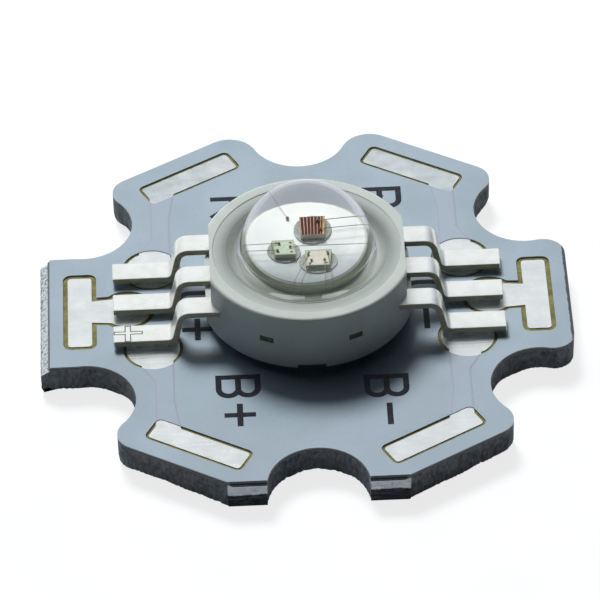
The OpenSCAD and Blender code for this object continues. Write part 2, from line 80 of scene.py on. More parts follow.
def piece(name, grids, material, stands_for=(), marks=None):
    """One mesh from grids that close round: every cell is a quad, ends that meet in a point are merged,
    faces look outward and edges sharper than the crease angle stay sharp. Marks are numbers for each
    point that the material can read by name."""
    points, quads, count = [], [], 0
    for grid in grids:
        index = np.arange(grid.shape[0] * grid.shape[1]).reshape(grid.shape[:2]) + count
        a, b = index[:-1], index[1:]
        quads.append(np.stack([a, b, np.roll(b, -1, 1), np.roll(a, -1, 1)], axis=-1).reshape(-1, 4))
        points.append(grid.reshape(-1, 3))
        count += index.size
    mesh = bpy.data.meshes.new(name)
    mesh.from_pydata((np.concatenate(points) * MM).tolist(), [], np.concatenate(quads).tolist())
    for mark, values in (marks or {}).items():
        mesh.attributes.new(mark, "FLOAT", "POINT").data.foreach_set("value", values)
    shape = bmesh.new()
    shape.from_mesh(mesh)
    bmesh.ops.remove_doubles(shape, verts=shape.verts, dist=MERGE * MM)
    bmesh.ops.recalc_face_normals(shape, faces=shape.faces)
    shape.to_mesh(mesh)
    shape.free()
    mesh.shade_smooth()
    mesh.set_sharp_from_angle(angle=np.radians(CREASE))
    mesh.materials.append(material)
    made = bpy.data.objects.new(name, mesh)
    bpy.context.collection.objects.link(made)
    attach(made, "root")
    if stands_for:
        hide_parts(*stands_for)
    print(name, len(mesh.polygons), "faces")

# %% [markdown]
# ## Outline of the board
# The core of the board is a sheet of aluminium. A punch cut its rounded lobes and its half-round screw
# notches; the left side and two short facets at the front were scored and snapped out of a larger panel.
# The outline could be cut from a plate with booleans, which leave ragged corners. Here it is one closed line:
# six flats with a corner at either end, turned in steps of 60 degrees and then spread evenly.

# %% Corners of a flat
FLAT = 9.875            # centre of the board to a punched flat
SIDE = 10.12            # to the snapped left side
FACET = 9.775           # to the facets and to the centres of the notches
NOTCH_R = 1.9
NOTCH_FLOOR = 240       # angle of a notch's deepest point
SIDE_MEETS = 172        # angle at which the left side cuts a notch
FACET_MEETS = 150       # angle at which a facet cuts the front notch
SIDE_LAP = 0.02
NOTCH_STEPS = 40
LOBE_ROUND, BACK_ROUND = 0.8, 1.1
NOTCH_AT = FACET * np.array([0.5, np.sqrt(0.75)])

def arc(centre, radius, a, b, steps=24):
    """Points on an arc: the centre plus the radius times cosine and sine of even steps from a to b degrees."""
    angle = np.radians(np.linspace(a, b, steps))
    return np.array(centre) + radius * np.stack([np.cos(angle), np.sin(angle)], axis=-1)

def punched_corner(r):
    """From the bottom of a notch to the flat: the notch's arc, then the corner's arc, which touches it.
    Points are (along the flat, outward)."""
    rise = FLAT - r - NOTCH_AT[1]
    centre = (NOTCH_AT[0] - np.sqrt((NOTCH_R + r) ** 2 - rise ** 2), FLAT - r)
    meet = 180 - np.degrees(np.arcsin(rise / (NOTCH_R + r)))
    notch = arc(NOTCH_AT, NOTCH_R, NOTCH_FLOOR, meet, NOTCH_STEPS)
    return np.concatenate([notch, arc(centre, r, meet - 180, 90)])

lobe_corner, back_corner = punched_corner(LOBE_ROUND), punched_corner(BACK_ROUND)
side_end = [NOTCH_AT[0] - NOTCH_R + SIDE_LAP, SIDE]
side_corner = np.concatenate([arc(NOTCH_AT, NOTCH_R, NOTCH_FLOOR, SIDE_MEETS, NOTCH_STEPS), [side_end]])
facet_end = [NOTCH_AT[0] - (FLAT - NOTCH_AT[1]) * np.sqrt(3), FLAT]
facet_corner = np.concatenate([arc(NOTCH_AT, NOTCH_R, NOTCH_FLOOR, FACET_MEETS, NOTCH_STEPS), [facet_end]])
print("corners of", len(lobe_corner), len(side_corner), "and", len(facet_corner), "points")

# %% Closed outline
COLUMNS = 1440
outline = []
for angle, before, after in (
    (0, lobe_corner, lobe_corner), (60, lobe_corner, back_corner), (120, back_corner, lobe_corner),
    (180, side_corner, side_corner), (240, lobe_corner, facet_corner), (300, facet_corner, lobe_corner),
):
    along, out = np.concatenate([before * [-1, 1], after[::-1]]).T
    c, k = np.cos(np.radians(angle)), np.sin(np.radians(angle))
    outline.append(np.column_stack([out * c - along * k, out * k + along * c]))
closed = np.concatenate([*outline, outline[0][:1]])
length = np.append(0, np.cumsum(np.linalg.norm(np.diff(closed, axis=0), axis=1)))
share = np.arange(COLUMNS) / COLUMNS
loop = np.column_stack([np.interp(share * length[-1], length, closed[:, i]) for i in (0, 1)])
print("outline of", round(length[-1], 2), "mm in", COLUMNS, "points")

# %% [markdown]
# ## Wall of the core
# The punch drags metal down with it, so the walls are scuffed and their lower edge is rolled round. The
# snapped faces have a torn web, and on the left a smooth slope above it. Bumps in a material could suggest
# all this, but the rolled edge changes the silhouette, so it is real relief: every level of the wall is the
# outline moved inward by its own distance. The torn parts need a little chance, and a sum of cosines with
# whole numbers of waves round the loop is noise that closes on itself without a seam.

# %% Rolled lower edge
ROLL, ROLL_SPREAD, ROLL_LIMITS = 0.30, 0.05, (0.15, 0.42)
SCORED_ROLL = 0.03
FACET_IN = 0.30          # how far the facets stand back
FACET_NEAR = (7.6, 9.6)  # the roll fades over this distance to the front
FACET_FADE = 0.8
FACET_MARGIN, SIDE_MARGIN = 0.05, 0.01

def ripple(low, high, seed):
    """Noise round the loop: cosines with low to high waves per round at random phases, spread about one."""
    waves = np.arange(low, high)[:, None]
    phase = np.random.default_rng(seed).uniform(0, 2 * np.pi, waves.shape)
    return np.cos(2 * np.pi * waves * share + phase).sum(axis=0) / np.sqrt(len(waves) / 2)

facet = (loop[:, 1] < FACET_IN - FACET) & (np.abs(loop[:, 0]) > NOTCH_R - FACET_MARGIN)
scored = (loop[:, 0] < SIDE_MARGIN - SIDE) | facet
near_facet = np.interp(-loop[:, 1], FACET_NEAR, (0, 1))
roll = np.clip(ROLL + ROLL_SPREAD * ripple(6, 60, 1), *ROLL_LIMITS) * (1 - FACET_FADE * near_facet)
roll = np.where(scored, SCORED_ROLL, roll)
print("rolled edge from", round(roll.min(), 2), "to", round(roll.max(), 2), "mm")

# %% Levels of the wall
DRAG_FINE, DRAG_COARSE = 0.012, 0.016
BEND_STEPS, RISE_STEPS = 9, 15
ahead = np.roll(loop, -1, 0) - np.roll(loop, 1, 0)
outward = np.column_stack([ahead[:, 1], -ahead[:, 0]]) / np.linalg.norm(ahead, axis=1, keepdims=True)
bend = np.radians(np.linspace(0, 90, BEND_STEPS))[:, None]
rise = np.linspace(0, 1, RISE_STEPS)[1:, None]
level = np.concatenate([roll * (1 - np.cos(bend)), roll + (core_top - roll) * rise])
drag = np.abs(DRAG_FINE * ripple(150, 500, 2) + DRAG_COARSE * ripple(20, 90, 3)) * (1 - level / core_top)
inward = np.concatenate([roll * (1 - np.sin(bend)), 0 * (roll + rise)]) + np.where(scored, 0, drag)
rings = np.dstack([loop[:, 0] - inward * outward[:, 0], loop[:, 1] - inward * outward[:, 1], level])
print(len(level), "levels, dragged by up to", round(drag.max(), 3), "mm")

# %% Snapped faces
SIDE_IN, SLOPE_FROM = 0.40, 0.84        # depth of the left slope, and the height where it starts
TOE_IN, TOE_TOP = 0.1, 0.25             # the same for the slope below the web
WEB = (0.2, 0.3, 0.78, 0.88)            # the tear fades in and out between these heights
SIDE_TEAR, FACET_TEAR = 0.012, 0.02
tear = np.stack([np.abs(ripple(120, 420, 10 + i)) for i in range(len(level))])
tear *= np.interp(level, WEB, (0, 1, 1, 0))
lean = np.interp(level, (SLOPE_FROM, core_top), (0, SIDE_IN)) + np.interp(level, (0, TOE_TOP), (TOE_IN, 0))
rings[..., 0] = np.maximum(rings[..., 0], lean + SIDE_TEAR * tear - SIDE)
rings[..., 1] = np.maximum(rings[..., 1], FACET_IN + FACET_TEAR * tear - FACET)
poles = np.zeros((2, 1, COLUMNS, 3))
poles[1, ..., 2] = core_top
core = np.concatenate([poles[0], rings, poles[1]])
print(int(scored.sum()), "of", COLUMNS, "columns are snapped")

# %% [markdown]
# ## Colours and shader nodes
# Colours are written as on a paint card, in sRGB, and one function turns them into the linear light that
# the renderer works in. Materials could be drawn by hand in the shader editor, but as code they can be read
# and repeated. One small function adds any node: its options, its inputs and, for a ramp, its colours.

# %% Colours and nodes
def linear(code):
    """sRGB hex to linear RGBA: the usual piecewise curve, a straight foot and a 2.4 power."""
    c = np.array([int(code[i:i + 2], 16) for i in (1, 3, 5)]) / 255
    c = np.where(c <= 0.04045, c / 12.92, ((c + 0.055) / 1.055) ** 2.4)
    return (*[float(v) for v in c], 1.0)

def add(tree, kind, inputs=None, out=0, stops=(), **options):
    """A node of that kind. An input that is a socket is linked and any other is set as a value; stops are
    (position, hex) pairs. Gives back the output of that number or name, or several for a slice."""
    made = tree.nodes.new("ShaderNode" + kind)
    for name, value in options.items():
        setattr(made, name, value)
    for name, value in (inputs or {}).items():
        if isinstance(value, bpy.types.NodeSocket):
            tree.links.new(value, made.inputs[name])
        else:
            made.inputs[name].default_value = value
    for _ in stops[2:]:
        made.color_ramp.elements.new(0.5)
    for i, (position, code) in enumerate(stops):
        made.color_ramp.elements[i].position = position
        made.color_ramp.elements[i].color = linear(code)
    return made.outputs[out] if len(made.outputs) else None

def material(name):
    """A new empty material, its node tree and the piece's own coordinates."""
    made = bpy.data.materials.new(name)
    made.use_nodes = True
    made.node_tree.nodes.clear()
    return made, made.node_tree, add(made.node_tree, "TexCoord", out="Object")

def per(size):
    """Texture scale for features of a size in millimetres: one over that size in metres."""
    return 1 / (size * MM)

print("mid grey is", round(linear("#808080")[0], 3), "in linear light")

# %% [markdown]
# ## Aluminium of the core
# The punched walls are grey with streaks from top to bottom, where the tool rubbed. The slope of the left
# side is smooth and shines, and the torn web below it is dark. Three materials could share the faces out,
# but the border between slope and web wanders, so one material mixes three finishes: by a mark that the
# mesh carries on its snapped columns, and by height.

# %% Wall and snapped faces
SLOPE_EDGE, FRONT_DROP, EDGE_WANDER = 0.92, 0.3, 0.16
FRONT_FROM, FRONT_FULL = -9.0, -9.3
aluminium, t, place = material("punched_aluminium")
y, z = add(t, "SeparateXYZ", {"Vector": place}, slice(1, 3))
upright = add(t, "Mapping", {"Vector": place, "Scale": (1, 1, 1 / 2)})
level_lines = add(t, "Mapping", {"Vector": place, "Scale": (1 / 5, 1 / 5, 1)})
streak = add(t, "TexNoise", {"Vector": upright, "Scale": per(0.13), "Detail": 6})
blotch = add(t, "TexNoise", {"Vector": place, "Scale": per(0.4), "Detail": 4})
scratch = add(t, "TexNoise", {"Vector": level_lines, "Scale": per(0.1), "Detail": 6})
pits = add(t, "TexNoise", {"Vector": place, "Scale": per(0.1), "Detail": 6})
rubbed = add(t, "Mix", {"Factor": 0.6, "A": blotch, "B": streak})
wall = add(t, "ValToRGB", {"Fac": rubbed}, stops=[(0.36, "#777d85"), (0.5, "#b0b6bd"), (0.64, "#d6dade")])
torn = add(t, "ValToRGB", {"Fac": scratch}, stops=[(0.4, "#4a5058"), (0.65, "#a8aeb5")])
side_slope = add(t, "ValToRGB", {"Fac": pits},
                 stops=[(0.36, "#7c8385"), (0.46, "#d3dada"), (0.7, "#f6f9f9")])
front_slope = add(t, "ValToRGB", {"Fac": scratch}, stops=[(0.3, "#7e868d"), (0.7, "#a3abb2")])
bare = add(t, "ValToRGB", {"Fac": blotch}, stops=[(0.35, "#a9adb0"), (0.65, "#bfc3c5")])
front = add(t, "MapRange", {"Value": y, "From Min": FRONT_FROM * MM, "From Max": FRONT_FULL * MM})
border = add(t, "Math", {0: front, 1: -FRONT_DROP * MM, 2: SLOPE_EDGE * MM}, operation="MULTIPLY_ADD")
height = add(t, "Math", {0: blotch, 1: EDGE_WANDER * MM, 2: z}, operation="MULTIPLY_ADD")
over = add(t, "Math", {0: height, 1: border}, operation="SUBTRACT")
smooth = add(t, "MapRange", {"Value": over, "From Min": -0.02 * MM, "From Max": 0.03 * MM})
print(len(t.nodes), "nodes for the wall, the web and the slopes")

# %% Punched core
# Dull streaked grey on the walls, a bright metallic slope at the left, a plain grey underside
UNDERSIDE = 0.002
mark = add(t, "Attribute", out="Fac", attribute_name="scored")
under = add(t, "Math", {0: z, 1: UNDERSIDE * MM}, operation="LESS_THAN")
skin = add(t, "Mix", {"Factor": front, "A": side_slope, "B": front_slope}, "Result", data_type="RGBA")
skin = add(t, "Mix", {"Factor": smooth, "A": torn, "B": skin}, "Result", data_type="RGBA")
skin = add(t, "Mix", {"Factor": mark, "A": wall, "B": skin}, "Result", data_type="RGBA")
skin = add(t, "Mix", {"Factor": under, "A": skin, "B": bare}, "Result", data_type="RGBA")
slope = add(t, "Math", {0: mark, 1: smooth}, operation="MULTIPLY")
relief = add(t, "Math", {0: streak, 1: pits}, operation="ADD")
shader = add(t, "BsdfPrincipled", {
    "Base Color": skin, "Metallic": slope, "Specular IOR Level": 0.2,
    "Roughness": add(t, "Math", {0: slope, 1: -0.4, 2: 0.75}, operation="MULTIPLY_ADD"),
    "Normal": add(t, "Bump", {"Height": relief, "Distance": 0.02 * MM})})
add(t, "OutputMaterial", {"Surface": shader})
piece("punched_core", [core], aluminium, ["base_plate"],
      marks={"scored": np.tile(scored, len(core)).astype(float)})

# %% [markdown]
# ## Insulation
# An olive layer of filled resin glues the copper to the core. It shows as a thin line round every pad, where
# the ink stays back; at the board's edge the punch smears metal over it. The solid has the right shape, so
# it only gets a finish, and the direction of its surface tells the open top from the cut edge.

# %% Olive insulation
# Speckled olive where it lies open, smeared grey with a dark upper line on the cut edge
SMEAR_TOP, SMEAR_END = 0.04, 0.06
insulation, t, place = material("olive_insulation")
edge_low = corners("dielectric_layer")[0][2]
speck = add(t, "TexNoise", {"Vector": place, "Scale": per(0.12), "Detail": 4})
patch = add(t, "TexNoise", {"Vector": place, "Scale": per(0.35), "Detail": 4})
mottle = add(t, "Mix", {"Factor": 0.4, "A": patch, "B": speck})
open_top = add(t, "ValToRGB", {"Fac": mottle}, stops=[(0.4, "#69653a"), (0.6, "#8a8753")])
smear = add(t, "ValToRGB", {"Fac": speck}, stops=[(0.35, "#6c7277"), (0.65, "#9aa1a5")])
high = add(t, "MapRange", {"Value": add(t, "SeparateXYZ", {"Vector": place}, "Z"),
                           "From Min": (edge_low + SMEAR_TOP) * MM, "From Max": (edge_low + SMEAR_END) * MM})
upward = add(t, "SeparateXYZ", {"Vector": add(t, "TexCoord", out="Normal")}, "Z")
level_top = add(t, "MapRange", {"Value": upward, "From Min": 0.85, "From Max": 0.95})
skin = add(t, "Mix", {"Factor": high, "A": smear, "B": linear("#34362f")}, "Result", data_type="RGBA")
skin = add(t, "Mix", {"Factor": level_top, "A": skin, "B": open_top}, "Result", data_type="RGBA")
shader = add(t, "BsdfPrincipled", {"Base Color": skin, "Roughness": 0.55,
                                   "Normal": add(t, "Bump", {"Height": speck, "Distance": 0.01 * MM})})
add(t, "OutputMaterial", {"Surface": shader})

def dress(finish, *names):
    """Puts a material on solids in place of their plain one."""
    for name in names:
        nodes[name].data.materials.clear()
        nodes[name].data.materials.append(finish)
    print(finish.name, "on", len(names), "solids")

dress(insulation, "dielectric_layer")

# %% [markdown]
# ## Solder mask
# The ink is screen printed over the board. Copper tracks lie under it and show as faint lilac bands, wider
# where a track leaves its lead pad and where it reaches its wire pad. They could be raised strips of their
# own, but the ink hides almost all of their height, so they are a pattern in its colour and a slight bump.
# Both halves of the board mirror one another, so the pattern is written once, for distances from the middle.

# %% Tracks under the ink
TRACK_IN, TRACK_OUT = 5.145, 5.865
IN_WIDER, OUT_WIDER = 0.23, 0.46
WIDE_AT_LEAD, WIDE_AT_PAD = (4.0, 3.2), (5.07, 6.77)
BEGINS, ENDS = (2.9, 3.0), (7.0, 6.9)
SOFT, SIDE_LINE = (-0.03, 0.02), (0.09, 0.04)
ink, t, place = material("solder_mask_ink")
x, y = add(t, "SeparateXYZ", {"Vector": place}, slice(2))
aside = add(t, "Math", {0: x}, operation="ABSOLUTE")
away = add(t, "Math", {0: y}, operation="ABSOLUTE")
near_lead, near_pad, begins, ends = [
    add(t, "MapRange", {"Value": away, "From Min": low * MM, "From Max": high * MM})
    for low, high in (WIDE_AT_LEAD, WIDE_AT_PAD, BEGINS, ENDS)]
outside = add(t, "Math", {0: near_lead, 1: OUT_WIDER * MM, 2: TRACK_OUT * MM}, operation="MULTIPLY_ADD")
inside = add(t, "Math", {0: near_pad, 1: -IN_WIDER * MM, 2: TRACK_IN * MM}, operation="MULTIPLY_ADD")
past_in = add(t, "Math", {0: aside, 1: inside}, operation="SUBTRACT")
past_out = add(t, "Math", {0: outside, 1: aside}, operation="SUBTRACT")
depth = add(t, "Math", {0: past_in, 1: past_out}, operation="MINIMUM")
within, beside = [
    add(t, "MapRange", {"Value": depth, "From Min": low * MM, "From Max": high * MM})
    for low, high in (SOFT, SIDE_LINE)]
span = add(t, "Math", {0: begins, 1: ends}, operation="MULTIPLY")
track = add(t, "Math", {0: within, 1: span}, operation="MULTIPLY")
side_line = add(t, "Math", {0: track, 1: beside}, operation="MULTIPLY")
print("tracks are", round(TRACK_OUT - TRACK_IN, 2), "mm wide")

# %% Solder mask ink
# Pale blue grey with a soft gloss, dust specks, tracks showing through and a dark band of painted shade along
# the right edge
EDGE_SHADE_BAND, EDGE_RAGGED = (9.80, 9.83), 0.1
TRACK_TINT, LINE_TINT = 0.2, 0.3
cloud = add(t, "TexNoise", {"Vector": place, "Scale": per(2.5), "Detail": 4})
dust = add(t, "TexNoise", {"Vector": place, "Scale": per(0.07), "Detail": 2})
rough = add(t, "TexNoise", {"Vector": place, "Scale": per(0.3), "Detail": 4})
ragged = add(t, "Math", {0: rough, 1: EDGE_RAGGED * MM, 2: x}, operation="MULTIPLY_ADD")
base = add(t, "ValToRGB", {"Fac": cloud}, stops=[(0.35, "#9fafba"), (0.65, "#a8b8c4")])
for cover, code in (
    (add(t, "MapRange", {"Value": dust, "From Min": 0.66, "From Max": 0.72}), "#8d97a4"),
    (add(t, "Math", {0: track, 1: TRACK_TINT}, operation="MULTIPLY"), "#b2b4c8"),
    (add(t, "Math", {0: side_line, 1: LINE_TINT}, operation="MULTIPLY"), "#9a90a6"),
    # Painted shade: a dark band along the right edge, where the edge's slope lies in shade
    (add(t, "MapRange", {"Value": ragged, "From Min": EDGE_SHADE_BAND[0] * MM, "From Max": EDGE_SHADE_BAND[1] * MM}),
     "#3f444a"),
):
    base = add(t, "Mix", {"Factor": cover, "A": base, "B": linear(code)}, "Result", data_type="RGBA")
relief = add(t, "Math", {0: dust, 1: 0.3, 2: track}, operation="MULTIPLY_ADD")
shader = add(t, "BsdfPrincipled", {"Base Color": base, "Roughness": 0.24,
                                   "Normal": add(t, "Bump", {"Height": relief, "Distance": 0.012 * MM})})
add(t, "OutputMaterial", {"Surface": shader})
dress(ink, "solder_mask")

# %% [markdown]
# ## Tinned pads
# The pads are copper dipped in tin and wiped while hot, which leaves fine lines across them. Anisotropic
# gloss could stand for the lines, but they are seen one by one here, so they are noise drawn out along X,
# with fewer along Y. The real lines are finer than a pixel and are drawn coarse enough to show.

# %% Tinned copper
# Bright tin with wiped lines that break up its reflections, greyer towards the back
GREYER_FROM, GREYER_FULL = 2, 6
tin, t, place = material("tinned_copper")
drawn_x = add(t, "Mapping", {"Vector": place, "Scale": (1 / 14, 1, 1)})
drawn_y = add(t, "Mapping", {"Vector": place, "Scale": (1, 1 / 14, 1)})
along = add(t, "TexNoise", {"Vector": drawn_x, "Scale": per(0.07), "Detail": 6})
across = add(t, "TexNoise", {"Vector": drawn_y, "Scale": per(0.09), "Detail": 6})
lines = add(t, "Mix", {"Factor": 0.25, "A": along, "B": across})
smear = add(t, "TexNoise", {"Vector": place, "Scale": per(0.8), "Detail": 4})
far = add(t, "MapRange", {"Value": add(t, "SeparateXYZ", {"Vector": place}, "Y"),
                          "From Min": GREYER_FROM * MM, "From Max": GREYER_FULL * MM})
greyer_to_back = add(t, "Math", {0: far, 1: -0.35, 2: smear}, operation="MULTIPLY_ADD")
colour = add(t, "ValToRGB", {"Fac": greyer_to_back}, stops=[(0.0, "#bfc8cb"), (0.3, "#dfe4e4"), (0.7, "#f2f5f4")])
shader = add(t, "BsdfPrincipled", {
    "Base Color": colour, "Metallic": 0.6,
    "Roughness": add(t, "MapRange", {"Value": lines, "From Min": -0.2, "From Max": 1.8}),
    "Normal": add(t, "Bump", {"Height": lines, "Distance": 0.02 * MM})})
add(t, "OutputMaterial", {"Surface": shader})
rows = [f"{colour}_{sign}" for colour in ("red", "green", "blue") for sign in ("plus", "minus")]
dress(tin, "thermal_pad", *[row + "_track" for row in rows])

# %% [markdown]
# ## Solder joints
# A little solder holds each foot to its pad. It froze quickly, so it is lumpy and duller than the tin. The
# solids give the joints' shape, and the lumps are too small for geometry, so they are bumps. Several small
# pieces have such a simple surface, where one grain gives both colour and bumps, so one function makes it.

# %% Dull solder
def grainy(name, size, stops, metallic, roughness, bumps=0, stretch=(1, 1, 1)):
    """A material with one grain: noise with features of a size in millimetres, drawn out along an axis by
    dividing its scale, gives the colour and, where asked, bumps of a height in millimetres."""
    made, t, place = material(name)
    laid = add(t, "Mapping", {"Vector": place, "Scale": [1 / s for s in stretch]})
    grain = add(t, "TexNoise", {"Vector": laid, "Scale": per(size), "Detail": 4})
    sockets = {"Base Color": add(t, "ValToRGB", {"Fac": grain}, stops=stops),
               "Metallic": metallic, "Roughness": roughness}
    if bumps:
        sockets["Normal"] = add(t, "Bump", {"Height": grain, "Distance": bumps * MM})
    add(t, "OutputMaterial", {"Surface": add(t, "BsdfPrincipled", sockets)})
    return made

# Grey metal with soft lumps
solder = grainy("dull_solder", 0.2, [(0.3, "#8e9393"), (0.7, "#c2c7c6")], 0.8, 0.42, 0.04)
dress(solder, "slug_solder", *[row + "_solder" for row in rows])

# %% [markdown]
# ## Heat slug
# The slug carries the dies, and its top is the bright disc under the dome. It is plated with matt silver. As
# a full mirror it would show only the dark side of the room through the dome, so it is mostly a pale
# diffuse surface with a little metal in it. Its colour carries painted light: a painted sheen that brightens
# it towards the back, and painted shade that greys it in front, where the wall of the well shades it.

# %% Silver plate
# A painted sheen, white at the back, that falls off to painted shade, grey, at the front
PLATE_REACH = 1.9
TOP_FROM, TOP_FULL = -0.05, -0.01
silver, t, place = material("silver_plate")
die_plane = corners("heat_slug")[1][2]
y, z = add(t, "SeparateXYZ", {"Vector": place}, slice(1, 3))
drawn = add(t, "Mapping", {"Vector": place, "Scale": (1 / 3, 1, 1)})
polish = add(t, "TexNoise", {"Vector": drawn, "Scale": per(0.06), "Detail": 4})
haze = add(t, "TexNoise", {"Vector": place, "Scale": per(0.9), "Detail": 4})
top = add(t, "MapRange", {"Value": z, "From Min": (die_plane + TOP_FROM) * MM,
                          "From Max": (die_plane + TOP_FULL) * MM})
# Painted light and shade: the plate is painted lighter towards the back and greyer in front
painted_light_to_back = add(t, "MapRange", {"Value": y, "From Min": -PLATE_REACH * MM, "From Max": PLATE_REACH * MM})
haze_and_painted_light = add(t, "Math", {0: haze, 1: 0.3, 2: painted_light_to_back}, operation="MULTIPLY_ADD")
plate = add(t, "ValToRGB", {"Fac": haze_and_painted_light},
            stops=[(0.25, "#8f9696"), (0.5, "#b9bfc0"), (0.73, "#eef0ef"), (0.95, "#fdfdfb")])
skin = add(t, "Mix", {"Factor": top, "A": linear("#b8bcac"), "B": plate}, "Result", data_type="RGBA")
shader = add(t, "BsdfPrincipled", {
    "Base Color": skin,
    "Metallic": add(t, "Math", {0: top, 1: 0.15}, operation="MULTIPLY"),
    "Roughness": add(t, "MapRange", {"Value": polish, "From Min": -1.2, "From Max": 2.6}),
    "Normal": add(t, "Bump", {"Height": polish, "Distance": 0.002 * MM})})
add(t, "OutputMaterial", {"Surface": shader})
dress(silver, "heat_slug")

# %% [markdown]
# ## Housing
# The ring is moulded from a white heat-proof plastic that lets some light through, so that its rim glows
# and its shaded wall stays soft. A plain white paint would look like plaster, so the shader scatters light
# below the surface. The well inside has a tint that is mostly painted shade and light: a dark olive in
# front, where it lies in shade, and painted light, a cool white, on its back wall.

# %% Moulded plastic
# Milky white with a satin gloss and fine pores
WELL_EDGE = (2.65, 2.5)
WELL_REACH = 2.4
plastic, t, place = material("moulded_plastic")
cloud = add(t, "TexNoise", {"Vector": place, "Scale": per(1.2), "Detail": 4})
pores = add(t, "TexNoise", {"Vector": place, "Scale": per(0.08), "Detail": 2})
outer = add(t, "ValToRGB", {"Fac": cloud}, stops=[(0.3, "#bfc7c2"), (0.7, "#cad1cb")])
radius = add(t, "VectorMath", {0: add(t, "Mapping", {"Vector": place, "Scale": (1, 1, 0)})}, "Value",
             operation="LENGTH")
inner = add(t, "MapRange", {"Value": radius, "From Min": WELL_EDGE[0] * MM, "From Max": WELL_EDGE[1] * MM})
# Painted shade and light: the well is painted dark olive in front and a light cool white at the back
painted_light_to_back = add(t, "MapRange", {"Value": add(t, "SeparateXYZ", {"Vector": place}, "Y"),
                              "From Min": -WELL_REACH * MM, "From Max": WELL_REACH * MM})
well_painted_shade = add(t, "ValToRGB", {"Fac": painted_light_to_back}, stops=[(0.2, "#777c6b"), (0.5, "#c3c7ca"), (0.9, "#c6cbd7")])
shader = add(t, "BsdfPrincipled", {
    "Base Color": add(t, "Mix", {"Factor": inner, "A": outer, "B": well_painted_shade}, "Result", data_type="RGBA"),
    "Roughness": 0.38, "Subsurface Weight": 0.25, "Subsurface Radius": (1.0, 1.0, 0.9),
    "Subsurface Scale": 0.35 * MM, "Normal": add(t, "Bump", {"Height": pores, "Distance": 0.004 * MM})})
add(t, "OutputMaterial", {"Surface": shader})
dress(plastic, "housing")

# %% [markdown]
# ## Tie bars
# Tie bars held the lead frame in the mould and were cut off flush with the wall. The cut shows the brassy
# core of the strip. The solids give the shape, and a torn grain along the cut is all that they need.

# %% Cut lead frame
# Dark brassy metal, roughly torn
cut_frame = grainy("cut_lead_frame", 0.06, [(0.35, "#3a3d30"), (0.65, "#5d604e")], 0.5, 0.5, 0.02, (3, 1, 1))
dress(cut_frame, "tie_bar_ends")

# %% [markdown]
# ## Bonding paste
# Each die sits in a halo of paste, a resin full of silver flakes. Real flakes are far too small to show, so
# they are drawn as a coarser grain, which gives the same broken sparkle.

# %% Silver paste
# Grainy pale metal
paste = grainy("silver_paste", 0.05, [(0.35, "#a0a29c"), (0.65, "#d0d2cb")], 0.6, 0.45, 0.015)
dress(paste, "red_paste", "green_paste", "blue_paste")

# %% [markdown]
# ## Red die
# The red die is a dark crystal under a comb of metal contact stripes, with a golden bonding strip along its
# right edge. Stripes of geometry would be thinner than a wire, so a folded ruler across the die draws them.

# %% Striped red die
# Dark red and cream stripes, a golden edge and pale sides
STRIPE, STRIPE_STEEP = 0.075, 1.6
STRIP_FROM = (0.22, 0.24)
red, t, place = material("striped_red_die")
middle = np.mean(corners("red_die"), axis=0)
across = add(t, "Math", {0: add(t, "SeparateXYZ", {"Vector": place}, "X"), 1: middle[0] * MM},
             operation="SUBTRACT")
wave = add(t, "Math", {0: across, 1: STRIPE / 2 * MM}, operation="PINGPONG")
wave = add(t, "Math", {0: wave, 1: per(STRIPE) * STRIPE_STEEP}, operation="MULTIPLY")
drawn = add(t, "Mapping", {"Vector": place, "Scale": (1, 1 / 4, 1)})
worn = add(t, "TexNoise", {"Vector": drawn, "Scale": per(0.05), "Detail": 4})
comb = add(t, "Math", {0: worn, 1: 0.25, 2: wave}, operation="MULTIPLY_ADD")
stripes = add(t, "ValToRGB", {"Fac": comb}, stops=[(0.52, "#3d0f0d"), (0.72, "#742419"), (0.9, "#d9b995")])
strip_side = add(t, "MapRange", {"Value": across, "From Min": STRIP_FROM[0] * MM,
                                 "From Max": STRIP_FROM[1] * MM})
upward = add(t, "SeparateXYZ", {"Vector": add(t, "TexCoord", out="Normal")}, "Z")
face = add(t, "Mix", {"Factor": strip_side, "A": stripes, "B": linear("#cda25c")}, "Result", data_type="RGBA")
face = add(t, "Mix", {"Factor": upward, "A": linear("#cfc8bb"), "B": face}, "Result", data_type="RGBA")
add(t, "OutputMaterial", {"Surface": add(t, "BsdfPrincipled", {"Base Color": face, "Roughness": 0.4})})
dress(red, "red_die")

# %% [markdown]
# ## Green and blue dies
# These two are pale sapphire crystals with a frame along the edge and a dark bonding spot in each corner.
# Both are the same kind of die, so one function makes their material from the die's own box. Distances from
# the middle, folded by their absolute values, draw all four edges and corners at once.

# %% Sapphire dies
# Pale matt crystal with a fine speckle
FRAME_IN, FRAME_OUT = 0.07, 0.04
SPOT_IN, SPOT_R = 0.1, (0.045, 0.03)

